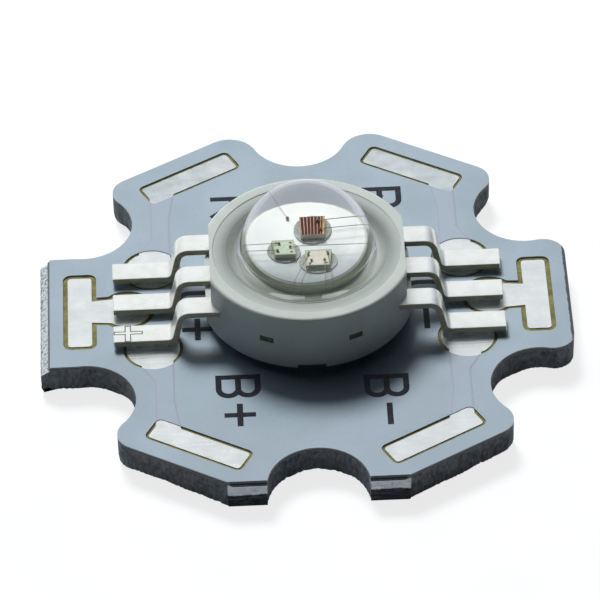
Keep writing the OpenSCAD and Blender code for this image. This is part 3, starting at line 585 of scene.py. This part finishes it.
def crystal(node, core, frame_colour):
    """A die's colour: a speckled core, a frame where the larger folded distance nears the edge, and a spot
    round the point that lies a little inside the corner."""
    made, t, place = material(node + "_crystal")
    low, high = corners(node)
    middle, half = (low + high) / 2 * MM, (high - low)[0] / 2
    centred = add(t, "Mapping", {"Vector": place, "Location": (-middle[0], -middle[1], 0), "Scale": (1, 1, 0)})
    folded = add(t, "VectorMath", {0: centred}, operation="ABSOLUTE")
    u, v = add(t, "SeparateXYZ", {"Vector": folded}, slice(2))
    largest = add(t, "Math", {0: u, 1: v}, operation="MAXIMUM")
    rim = add(t, "MapRange", {"Value": largest, "From Min": (half - FRAME_IN) * MM,
                              "From Max": (half - FRAME_OUT) * MM})
    corner = (half - SPOT_IN) * MM
    apart = add(t, "VectorMath", {0: folded, 1: (corner, corner, 0)}, "Value", operation="DISTANCE")
    spot = add(t, "MapRange", {"Value": apart, "From Min": SPOT_R[0] * MM, "From Max": SPOT_R[1] * MM})
    speck = add(t, "TexNoise", {"Vector": place, "Scale": per(0.08), "Detail": 4})
    tint = add(t, "ValToRGB", {"Fac": speck}, stops=[(0.3, core[0]), (0.7, core[1])])
    tint = add(t, "Mix", {"Factor": rim, "A": tint, "B": linear(frame_colour)}, "Result", data_type="RGBA")
    tint = add(t, "Mix", {"Factor": spot, "A": tint, "B": linear("#63634c")}, "Result", data_type="RGBA")
    shader = add(t, "BsdfPrincipled", {"Base Color": tint, "Roughness": 0.55, "Specular IOR Level": 0.2})
    add(t, "OutputMaterial", {"Surface": shader})
    dress(made, node)

crystal("green_die", ("#b4c0a9", "#c6d0bb"), "#b2b9a6")
crystal("blue_die", ("#c3beb0", "#d3cec0"), "#afb3a4")

# %% [markdown]
# ## Clear dome
# The lens is moulded in clear silicone and filled with a gel of nearly the same index, so light bends only
# at the outside. Lens and gel as two solids would leave a film of air between them, so both are one turned
# surface here: the dome, its skirt, a raised ring, the flange, which crept silicone joins to the rim, and
# below them surfaces that dip a hair into the housing and the slug.

# %% Profile of the dome
DOME_R = 2.45
FILLET_X, FILLET_R = 2.75, 0.25
RING_R, RING_EDGE, RING_H, RING_ROUND = 3.0, 0.05, 0.025, 0.02
FLANGE_R, FILL_DROP = 3.55, 0.035
WELL_R = 2.45
PEDESTAL_R, PEDESTAL_BEVEL = 1.54, 0.06
DIP = 0.02
recess_z, lens_top = [corner[2] for corner in corners("lens")]
frame_top = corners("green_minus_lead")[1][2]
dome_z = lens_top - DOME_R
flange_z = corners("housing")[1][2] - FILL_DROP
ring_z = flange_z + RING_H
profile = np.concatenate([
    [(0, lens_top)],
    arc((0, dome_z), DOME_R, 89, 0, 90),
    arc((FILLET_X, ring_z + FILLET_R), FILLET_R, 190, 270, 12),
    arc((RING_R - RING_EDGE, ring_z - RING_ROUND), RING_ROUND, 90, 0, 8),
    arc((RING_R + RING_EDGE, flange_z + RING_ROUND), RING_ROUND, 180, 270, 8),
    [(FLANGE_R, flange_z), (FLANGE_R, recess_z - DIP), (WELL_R + DIP, recess_z - DIP),
     (WELL_R + DIP, frame_top - DIP), (PEDESTAL_R - DIP, frame_top - DIP),
     (PEDESTAL_R - DIP, die_plane - PEDESTAL_BEVEL - DIP),
     (PEDESTAL_R - PEDESTAL_BEVEL - DIP, die_plane - DIP), (0, die_plane - DIP)],
])
print("dome rises", round(lens_top - flange_z, 2), "mm above its flange")

# %% [markdown]
# ## Clear silicone
# Glass that bends light casts dark shadows in a path tracer unless it is given very many samples. Shadow
# rays therefore pass it as if it were plain clear film, and only what the eye sees is bent. The flange is
# thin and cloudy, and it turns milky towards its rim.

# %% Silicone
# Clear with a sharp gloss in the dome, milky on the flange
MILK_FROM, MILK_FULL, MILK_MOST = 2.45, 3.3, 0.92
PALER_FROM, PALER_FULL = 2.9, 3.45
STEPS = 384
silicone, t, place = material("clear_silicone")
veil = add(t, "TexNoise", {"Vector": place, "Scale": per(1.5), "Detail": 4})
colour = add(t, "ValToRGB", {"Fac": veil}, stops=[(0.3, "#f3f6f4"), (0.7, "#fbfcfb")])
bent = add(t, "BsdfPrincipled", {"Base Color": colour, "Roughness": 0.0, "IOR": 1.47,
                                 "Transmission Weight": 1.0})
film = add(t, "BsdfTransparent", {"Color": linear("#fbfdfb")})
clear = add(t, "MixShader", {0: add(t, "LightPath", out="Is Shadow Ray"), 1: bent, 2: film})
radius = add(t, "VectorMath", {0: add(t, "Mapping", {"Vector": place, "Scale": (1, 1, 0)})}, "Value",
             operation="LENGTH")
outer = add(t, "MapRange", {"Value": radius, "From Min": PALER_FROM * MM, "From Max": PALER_FULL * MM})
paler = add(t, "ValToRGB", {"Fac": outer}, stops=[(0.0, "#858d88"), (1.0, "#b3bbb6")])
milk = add(t, "BsdfPrincipled", {"Base Color": paler, "Roughness": 0.22})
cloudy = add(t, "MapRange", {"Value": radius, "From Min": MILK_FROM * MM, "From Max": MILK_FULL * MM,
                             "To Max": MILK_MOST})
add(t, "OutputMaterial", {"Surface": add(t, "MixShader", {0: cloudy, 1: clear, 2: milk})})

def turn(line, steps):
    """Point (i, j) is point i of a line of (radius, height) turned about Z by j steps of the full circle."""
    angle = np.linspace(0, 2 * np.pi, steps, endpoint=False)
    r, z = np.array(line, float).T[..., None]
    return np.stack([r * np.cos(angle), r * np.sin(angle), z + 0 * angle], axis=-1)

piece("clear_dome", [turn(profile, STEPS)], silicone, ["lens", "silicone_gel"])

# %% [markdown]
# ## Tin of the leads
# Each lead is stamped from tinned strip. Its flat faces are bright with faint rolling lines; the stamped
# edges are dull and show some of the copper alloy. The long edges face sideways along Y, so the direction of
# the surface is enough to tell them apart, and no second material is needed.

# %% Bright tin
# Nearly a mirror on the faces, dull and warm on the stamped edges
bright, t, place = material("bright_tin")
sideways = add(t, "SeparateXYZ", {"Vector": add(t, "TexCoord", out="Normal")}, "Y")
sideways = add(t, "Math", {0: sideways}, operation="ABSOLUTE")
stamped = add(t, "MapRange", {"Value": sideways, "From Min": 0.75, "From Max": 0.9})
drawn = add(t, "Mapping", {"Vector": place, "Scale": (1 / 12, 1, 1)})
rolled = add(t, "TexNoise", {"Vector": drawn, "Scale": per(0.05), "Detail": 4})
blot = add(t, "TexNoise", {"Vector": place, "Scale": per(0.4), "Detail": 4})
shine = add(t, "ValToRGB", {"Fac": blot}, stops=[(0.3, "#f2f4ee"), (0.7, "#fdfefb")])
cut_edge = add(t, "ValToRGB", {"Fac": rolled}, stops=[(0.35, "#8b8972"), (0.65, "#b9b6a0")])
gloss = add(t, "MapRange", {"Value": rolled, "From Min": -0.4, "From Max": 2.2})
shader = add(t, "BsdfPrincipled", {
    "Base Color": add(t, "Mix", {"Factor": stamped, "A": shine, "B": cut_edge}, "Result", data_type="RGBA"),
    "Roughness": add(t, "Math", {0: stamped, 1: 0.25, 2: gloss}, operation="MULTIPLY_ADD"),
    "Metallic": add(t, "MapRange", {"Value": stamped, "From Min": 1.4, "From Max": -0.4}),
    "Normal": add(t, "Bump", {"Height": rolled, "Distance": 0.004 * MM})})
add(t, "OutputMaterial", {"Surface": shader})
print(bright.name, "with", len(t.nodes), "nodes")

# %% [markdown]
# ## Shape of the leads
# A lead is bent twice: over the shoulder and out at the heel. A box with a bend modifier would thin at the
# bends, so the strip's section, a rectangle with rounded corners, is carried along the middle line of the
# bent strip. Slightly smaller rings at both ends catch the light as the long edges do.

# %% Strip along a line
LEAD_T = 0.25
EDGE = 0.03
CORNER_STEPS = 4

def sweep(path, side, up, section):
    """Point (i, j) is path point i plus the section's point j laid off along that place's side and up
    directions; the first and last rings shrink to a point, which closes the ends."""
    section = np.broadcast_to(section, (len(path), *np.shape(section)[-2:]))
    rings = path[:, None] + section[..., :1] * side[:, None] + section[..., 1:] * up[:, None]
    ends = [np.repeat(rings[i].mean(axis=0)[None, None], rings.shape[1], axis=1) for i in (0, -1)]
    return np.concatenate([ends[0], rings, ends[1]])

def rounded(width, thick):
    """Section of a strip: a quarter circle at each corner of a rectangle."""
    return np.concatenate([
        arc((sx * (width / 2 - EDGE), sz * (thick / 2 - EDGE)), EDGE, a, a + 90, CORNER_STEPS)
        for sx, sz, a in ((1, 1, 0), (-1, 1, 90), (-1, -1, 180), (1, -1, 270))])

def strip(line, across, width):
    """Flat strip along a line in the XZ plane: its rounded section swept with the width along Y and the
    thickness square to the line; one ring more at each end is smaller by the edge's radius."""
    line = np.concatenate([line[:1], line, line[-1:]])
    step = np.gradient(line, axis=0)
    step[0], step[-1] = line[2] - line[0], line[-1] - line[-3]
    step[1], step[-2] = step[0], step[-1]
    step /= np.linalg.norm(step, axis=1, keepdims=True)
    ends = np.zeros(len(line))
    ends[1], ends[-2] = EDGE, -EDGE
    line = line + step * ends[:, None]
    path = np.stack([line[:, 0], np.full(len(line), across), line[:, 1]], axis=-1)
    side = np.broadcast_to([0.0, 1.0, 0.0], path.shape)
    up = np.stack([-step[:, 1], np.zeros(len(line)), step[:, 0]], axis=-1)
    section = np.repeat(rounded(width, LEAD_T)[None], len(line), axis=0)
    section[[0, -1]] = rounded(width - 2 * EDGE, LEAD_T - 2 * EDGE)
    return sweep(path, side, up, section)

print("a strip's section has", len(rounded(1, LEAD_T)), "points")

# %% Gull wing and finger
LEAD_W = 0.9
HEEL_X, HEEL_R = 5.32, 0.2
SHOULDER_X, SHOULDER_R = 4.460, 0.27
LEAN = 12
FINGER_W, FINGER_ROOT, FINGER_LAP = 0.45, 2.327, 0.05
foot_bottom = corners("green_minus_lead")[0][2]
tip_x = corners("green_minus_lead")[1][0]
lead_level = frame_top - LEAD_T / 2
foot_level = foot_bottom + LEAD_T / 2

def gull_wing(root, place_y):
    """Strip from its root: level inside the wall, an arc over the shoulder, straight down at the lean, an
    arc round the heel and level out to its tip."""
    return strip(np.concatenate([
        [[root, lead_level], [(root + SHOULDER_X) / 2, lead_level]],
        arc((SHOULDER_X, frame_top - LEAD_T - SHOULDER_R), SHOULDER_R + LEAD_T / 2, 90, LEAN),
        arc((HEEL_X, foot_bottom + LEAD_T + HEEL_R), HEEL_R + LEAD_T / 2, 180 + LEAN, 270),
        [[(HEEL_X + tip_x) / 2, foot_level], [tip_x, foot_level]],
    ]), place_y, LEAD_W)

def finger(tip, place_y):
    """Straight bonding finger from its tip to a little past the lead's root."""
    xs = np.array([tip, (tip + FINGER_ROOT) / 2, FINGER_ROOT + FINGER_LAP])
    return strip(np.column_stack([xs, np.full(3, lead_level)]), place_y, FINGER_W)

print("leads reach", round(tip_x, 2), "mm from the middle")

# %% [markdown]
# ## The six leads
# The middle leads run straight in to their bonding place. The others end in a narrow finger along their
# inner end, and the one at the back right has a branch that runs forward to the wires of the red die. All
# are made on the right side, and X changes its sign for those on the left.

# %% Leads
LEAD_PITCH = 1.75
finger_y = LEAD_PITCH + LEAD_W / 2 - FINGER_W / 2
low, high = corners("red_minus_lead")
branch = strip(np.array([[low[1], 0], [(low[1] + high[1]) / 2, 0], [high[1], 0]]), 0, FINGER_W)
branch = branch[..., [1, 0, 2]] + [low[0] + FINGER_W / 2, 0, lead_level]
for row in rows:
    colour, sign = row.split("_")
    side = 1 if sign == "minus" else -1
    place_y = {"red": 1, "green": 0, "blue": -1}[colour]
    tip = np.abs([c[0] for c in corners(row + "_lead")]).min()
    grids = [gull_wing(tip if colour == "green" else FINGER_ROOT, place_y * LEAD_PITCH)]
    grids += [finger(tip, place_y * finger_y)] if place_y else []
    grids += [branch] if row == "red_minus" else []
    piece(row + "_tin_lead", [grid * [side, 1, 1] for grid in grids], bright, [row + "_lead"])

# %% [markdown]
# ## Bond wires
# A gold wire starts as a melted ball on the die, runs level past the edge of the pedestal and drops to the
# bonding finger, where the tool flattens it. A bevelled curve could follow that path, but a swept circle
# with a turned ball and foot gives one closed mesh for all wires of a die. Drawn wire has lines that are too
# fine to show, so its grain is drawn far coarser.

# %% Gold wire
# Warm metal that looks greyish at this size
WIRE_R, TUBE_SIDES = 0.009, 24
BALL_R, BALL_H, BALL_STEPS = 0.036, 0.07, 32
BEND = 0.3
gold = grainy("gold_wire", 0.03, [(0.3, "#857e6a"), (0.7, "#aba48f")], 0.8, 0.35, stretch=(4, 4, 4))
half_round = arc((0, 0), 1, 90, -90, 17)
half_round[[0, -1], 0] = 0

def wire(begin, end, base, thick=WIRE_R):
    """Tube along a path in one upright plane: level from the ball, a quarter turn, then straight down; with
    a ball turned about Z at its start, at the height base, and a flat foot at its end."""
    begin, end = np.append(begin, 0), np.append(end, 0)
    run = np.linalg.norm(end - begin)
    ahead = (end - begin) / run
    level = base + BALL_H / 2
    line = np.concatenate([
        [[0, level], [0.5 * (run - BEND), level]],
        arc((run - BEND, level - BEND), BEND, 90, 0),
        [[run, (level - BEND + frame_top) / 2], [run, frame_top]],
    ])
    step = np.gradient(line, axis=0)
    step /= np.linalg.norm(step, axis=1, keepdims=True)
    path = begin + line[:, :1] * ahead + line[:, 1:] * [0, 0, 1]
    side = np.broadcast_to([-ahead[1], ahead[0], 0], path.shape)
    up = -step[:, 1:] * ahead + step[:, :1] * [0, 0, 1]
    tube = sweep(path, side, up, arc((0, 0), thick, 0, 360 - 360 / TUBE_SIDES, TUBE_SIDES))
    ball = turn(half_round * [BALL_R, BALL_H / 2] + [0, level], BALL_STEPS) + begin
    foot = turn(half_round * [2 * WIRE_R, WIRE_R / 2] + [0, frame_top], BALL_STEPS) + end
    return [tube, ball, foot]

print(gold.name, 2 * WIRE_R, "mm thick")

# %% [markdown]
# ## Places of the wires
# Each die has its wires in pairs, one pair to a lead, and the green die has a single wire at its right. The
# ends are worked out from the boxes of the dies and the leads, so that a wire never misses either. One very
# thin wire runs from the disc itself, because the red die has its other contact on its underside.

# %% Wires
BALL_EDGE, BALL_GAP, BALL_STAGGER = 0.08, 0.26, 0.08
BOND_EDGE, BOND_GAP = 0.12, 0.26
SLUG_BOND = PEDESTAL_R * np.array([-0.233, 0.72])
SLUG_WIRE_R = 0.4 * WIRE_R
die_top = corners("red_die")[1][2]

def balls(colour, side, row, i):
    """Place of a ball on a die: the die's middle plus an edge distance to the lead's side, and half a gap
    along Y; i is 0 for the ball nearer the lead's row, which is set in, and 1 for the other."""
    low, high = corners(colour + "_die")
    middle, half = (low + high) / 2, (high - low)[0] / 2
    out = half - BALL_EDGE - BALL_STAGGER * (1 - i)
    return middle[0] + side * out, middle[1] + (row or 1) * BALL_GAP * (0.5 - i)

def bonds(lead_name, side, row, i):
    """Place where that wire meets its lead: an edge distance in from the tip, the two wires a gap apart,
    across a middle lead, along a finger or along the branch."""
    low, high = corners(lead_name)
    tip = np.abs([low[0], high[0]]).min()
    if row == 0:
        return side * (tip + BOND_EDGE), BOND_GAP * (0.5 - i)
    if lead_name == "red_minus_lead":
        return tip + BOND_EDGE, low[1] + BOND_EDGE + BOND_GAP * (1 - i)
    return side * (tip + BOND_EDGE + i * BOND_GAP), row * (finger_y - FINGER_W / 2 + BOND_EDGE)

for colour, row, plus, minus in (
    ("red", 1, (), (0, 1)), ("green", 0, (0, 1), (0.5,)), ("blue", -1, (0, 1), (0, 1)),
):
    grids = []
    if colour == "red":
        grids += wire(SLUG_BOND, bonds("red_plus_lead", -1, row, 0), die_plane, SLUG_WIRE_R)
    for sign, side, ends in (("plus", -1, plus), ("minus", 1, minus)):
        for i in ends:
            grids += wire(balls(colour, side, row, i), bonds(f"{colour}_{sign}_lead", side, row, i), die_top)
    piece(colour + "_bond_wires", grids, gold, [colour + "_wires"])

# %% [markdown]
# ## Printed signs
# Black ink marks each circuit's colour and polarity on the board, turned so that the letters read from back
# to front. Blender's text object would bring in a font of its own; the real print has plain even strokes, so
# a letter is a few lines, and each line is a flat bar swept along it. Where strokes of a letter cross, each
# is a hair thicker than the one before, so that no two faces lie in one plane.

# %% Legend ink
# Matt black, slightly patchy
black = grainy("legend_ink", 0.15, [(0.35, "#14161b"), (0.65, "#2a2d35")], 0.0, 0.6, 0.006)

def stroke(line, width, base, thick):
    """Flat bar along a line of points at a height: the section is a rectangle, and at each corner the side
    direction is the mitre of the two segments that meet there, so the width stays even."""
    line = np.array(line, float)
    step = np.diff(line, axis=0)
    step /= np.linalg.norm(step, axis=1, keepdims=True)
    before = np.concatenate([step[:1], step])
    after = np.concatenate([step, step[-1:]])
    left = np.stack([-before[:, 1], before[:, 0]], axis=-1)
    mitre = left + np.stack([-after[:, 1], after[:, 0]], axis=-1)
    mitre /= (mitre * left).sum(axis=1, keepdims=True)
    line[0] -= step[0] * width / 2
    line[-1] += step[-1] * width / 2
    path = np.column_stack([line, np.full(len(line), base)])
    side = np.column_stack([mitre, np.zeros(len(line))])
    up = np.broadcast_to([0.0, 0.0, 1.0], path.shape)
    half = width / 2
    return sweep(path, side, up, np.array([[-half, 0], [half, 0], [half, thick], [-half, thick]]))

print(black.name, "with", len(black.node_tree.nodes), "nodes")

# %% Letters and signs
INK_T, INK_SINK, INK_STEP = 0.012, 0.002, 0.002
STROKE = 0.22
W, H = 1.0, 1.45
Q = H / 4
PLUS_UP, PLUS_OUT, MINUS_OUT = 0.47, 0.48, 0.46
LEG_FROM, BAR_FROM, BAR_UP = 0.4, 0.5, 0.45
STEM = [(0, 0), (0, H)]
BOWL = [(0, H), *arc((W - Q, H - Q), Q, 90, -90, 13), (0, H / 2)]
BELLY = [(W - Q, H / 2), *arc((W - Q, Q), Q, 90, -90, 13), (0, 0)]
HOOK = [*arc((W / 2, H - W / 2), W / 2, 25, 180, 13), *arc((W / 2, W / 2), W / 2, 180, 345, 13)]
LETTERS = {
    "R": [STEM, BOWL, [(W * LEG_FROM, H / 2), (W, 0)]],
    "G": [[*HOOK, (W, H * BAR_UP), (W * BAR_FROM, H * BAR_UP)]],
    "B": [STEM, BOWL, BELLY],
    "plus": [[(W / 2, H / 2 - PLUS_UP), (W / 2, H / 2 + PLUS_UP)],
             [(W / 2 - PLUS_OUT, H / 2), (W / 2 + PLUS_OUT, H / 2)]],
    "minus": [[(W / 2 - MINUS_OUT, H / 2), (W / 2 + MINUS_OUT, H / 2)]],
}
board_top = corners("solder_mask")[1][2]
for name, sign, (x, y) in (
    ("red_plus_letter", "R", (-2.7, 5.62)), ("red_plus_sign", "plus", (-2.7, 4.1)),
    ("red_minus_letter", "R", (3.0, 5.84)), ("red_minus_sign", "minus", (3.0, 4.3)),
    ("green_plus_letter", "G", (-4.2, 0.3)), ("green_plus_sign", "plus", (-4.2, -1.24)),
    ("green_minus_letter", "G", (4.41, 0.4)), ("green_minus_sign", "minus", (4.41, -1.13)),
    ("blue_plus_letter", "B", (-2.78, -4.44)), ("blue_plus_sign", "plus", (-2.75, -5.98)),
    ("blue_minus_letter", "B", (2.72, -4.72)), ("blue_minus_sign", "minus", (2.77, -6.23)),
):
    # A quarter turn clockwise: the letter's height runs along X and its width against Y
    lines = [[(x + v - H / 2, y - u + W / 2) for u, v in line] for line in LETTERS[sign]]
    piece(name, [stroke(line, STROKE, board_top - INK_SINK, INK_T + INK_STEP * i)
                 for i, line in enumerate(lines)], black)

# %% [markdown]
# ## Stamped plus
# The tool that trims the leads also stamps a plus into the foot of the front left one. Cutting it in would
# need a boolean on a thin strip. Only its outline is seen, as a thin dark line on the bright tin where the
# groove lies in shade, so that line is laid on the foot as one stroke of painted shade.

# %% Stamped plus
# A dull dark line: painted shade of the stamped groove
GROOVE_W, GROOVE_T, GROOVE_SINK = 0.04, 0.006, 0.004
painted_groove_shade = grainy("stamped_groove", 0.05, [(0.35, "#57564a"), (0.65, "#8c8b7e")], 0.6, 0.5)
bar, beam = (-6.91, -6.71), (-1.78, -1.64)
front, rear, end, near_tip = -2.17, -1.33, -6.27, EDGE - tip_x
plus_line = [
    (bar[0], front), (bar[1], front), (bar[1], beam[0]), (end, beam[0]), (end, beam[1]), (bar[1], beam[1]),
    (bar[1], rear), (bar[0], rear), (bar[0], beam[1]), (near_tip, beam[1]), (near_tip, beam[0]),
    (bar[0], beam[0]), (bar[0], front),
]
piece("stamped_plus", [stroke(plus_line, GROOVE_W, foot_bottom + LEAD_T - GROOVE_SINK, GROOVE_T)], painted_groove_shade)

# %% [markdown]
# ## Room
# The board lies under a soft light that comes from above, behind and a little from the left; the front of
# the room is dark, which gives the deep shade in front of the housing. A picture of a studio could light
# it, but a ramp over the angle to the light does the same with a few numbers. Metal and the dome see a
# lighter room, or they would mirror mostly black.

# %% World
LIGHT_FROM = (-0.25, 0.72, 0.65)
world = bpy.data.worlds.new("soft_room")
bpy.context.scene.world = world
world.use_nodes = True
t = world.node_tree
t.nodes.clear()
looking = add(t, "TexCoord", out="Generated")
facing = add(t, "VectorMath", {0: looking, 1: LIGHT_FROM}, "Value", operation="DOT_PRODUCT")
toward = add(t, "MapRange", {"Value": facing, "From Min": -0.2, "From Max": 1.0})
sky = add(t, "ValToRGB", {"Fac": toward},
          stops=[(0.0, "#090a0c"), (0.75, "#121518"), (0.95, "#d6dee8"), (1.0, "#ffffff")])
room = add(t, "ValToRGB", {"Fac": toward},
           stops=[(0.0, "#6f757c"), (0.58, "#7d838a"), (0.85, "#dfe6ee"), (1.0, "#ffffff")])
above = add(t, "MapRange", {"Value": add(t, "SeparateXYZ", {"Vector": looking}, "Z"),
                            "From Min": 0.0, "From Max": 0.4})
sky = add(t, "Mix", {"Factor": above, "A": linear("#15171a"), "B": sky}, "Result", data_type="RGBA")
mirrored = add(t, "Math", {0: add(t, "LightPath", out="Is Glossy Ray"),
                           1: add(t, "LightPath", out="Is Transmission Ray")}, operation="MAXIMUM")
sky = add(t, "Mix", {"Factor": mirrored, "A": sky, "B": room}, "Result", data_type="RGBA")
add(t, "OutputWorld", {"Surface": add(t, "Background", {"Color": sky, "Strength": 1.0})})
print(world.name, "with", len(t.nodes), "nodes")

# %% [markdown]
# ## Lamp
# One broad round lamp stands behind and above, as a softbox would. A sun would give hard shadows, and the
# room alone hardly any. It is hidden from mirrors and from the dome, which would show it as a white disc.

# %% Lamp
LAMP_BACK, LAMP_DISTANCE = (-60, 215, 297), 370
LAMP_ACROSS, LAMP_WATTS = 120, 1.37

def aimed(target, back, distance, roll=0):
    """Matrix of something that looks at a target from a distance in millimetres: its Z points back along
    that direction, its X is level, and then both X and Y are rolled about Z by an angle in degrees."""
    back = np.array(back) / np.linalg.norm(back)
    right = np.cross([0, 0, 1], back)
    right /= np.linalg.norm(right)
    up = np.cross(back, right)
    c, k = np.cos(np.radians(roll)), np.sin(np.radians(roll))
    view = np.eye(4)
    view[:3, :3] = np.column_stack([c * right + k * up, c * up - k * right, back])
    view[:3, 3] = (target + distance * back) * MM
    return Matrix(view.tolist())

lamp = bpy.data.lights.new("soft_lamp", "AREA")
lamp.shape = "DISK"
lamp.size = LAMP_ACROSS * MM
lamp.energy = LAMP_WATTS
lamp_object = bpy.data.objects.new("soft_lamp", lamp)
bpy.context.collection.objects.link(lamp_object)
lamp_object.matrix_world = aimed(np.zeros(3), LAMP_BACK, LAMP_DISTANCE)
lamp_object.visible_glossy = False
lamp_object.visible_transmission = False
print("lamp at", [round(v, 3) for v in lamp_object.matrix_world.translation], "m")

# %% [markdown]
# ## Paper
# The object stands on white paper that fades into a white background. More light would bleach the object, so
# the paper glows by itself, but only for the eye, for mirrors and for the dome: it throws no extra light on
# the object, and it keeps the object's shadow.

# %% Floor
# Matt paper with faint clouds, white to the eye
REACH, FLOOR_DROP = 3000, 0.02
PAPER_GLOW = 0.8
paper, t, place = material("white_paper")
seen = add(t, "LightPath", out="Is Camera Ray")
for ray in ("Is Glossy Ray", "Is Transmission Ray"):
    seen = add(t, "Math", {0: seen, 1: add(t, "LightPath", out=ray)}, operation="MAXIMUM")
fibre = add(t, "TexNoise", {"Vector": place, "Scale": per(3.0), "Detail": 4})
colour = add(t, "ValToRGB", {"Fac": fibre}, stops=[(0.3, "#7d8083"), (0.7, "#85888b")])
sheet = add(t, "BsdfDiffuse", {"Color": colour})
glow = add(t, "Emission", {"Color": linear("#ffffff"), "Strength": PAPER_GLOW})
lit = add(t, "AddShader", {0: sheet, 1: glow})
add(t, "OutputMaterial", {"Surface": add(t, "MixShader", {0: seen, 1: sheet, 2: lit})})

square = np.array([(-1, -1, 0), (1, -1, 0), (1, 1, 0), (-1, 1, 0)]) * REACH - [0, 0, FLOOR_DROP]
floor_mesh = bpy.data.meshes.new("paper_floor")
floor_mesh.from_pydata((square * MM).tolist(), [], [(0, 1, 2, 3)])
floor_mesh.materials.append(paper)
floor = bpy.data.objects.new("paper_floor", floor_mesh)
bpy.context.collection.objects.link(floor)
print(floor.name, "is", 2 * REACH * MM, "m wide")

# %% [markdown]
# ## Camera
# The camera looks down on the board from the front with a long lens, as for a product picture. Its place
# could be tried out by eye; here it comes from fitting the board's known points to where they are seen, as
# an elevation, a small turn, a distance and a small roll.

# %% Camera
ELEVATION, TURN, CAMERA_ROLL = np.radians(42.330), np.radians(-1.281), -1.513
DISTANCE = 189.689
LENS, SENSOR = 301.607, 36.0
target = np.array([-0.30, 0.166, board_top])
back = [np.sin(TURN) * np.cos(ELEVATION), -np.cos(TURN) * np.cos(ELEVATION), np.sin(ELEVATION)]
camera = bpy.data.cameras.new("camera")
camera.lens = LENS
camera.sensor_width = SENSOR
camera.clip_start = 0.01
camera_object = bpy.data.objects.new("camera", camera)
bpy.context.collection.objects.link(camera_object)
camera_object.matrix_world = aimed(target, back, DISTANCE, CAMERA_ROLL)
bpy.context.scene.camera = camera_object
bpy.context.scene.view_settings.view_transform = "Standard"
print("camera at", [round(v, 3) for v in camera_object.matrix_world.translation], "m")
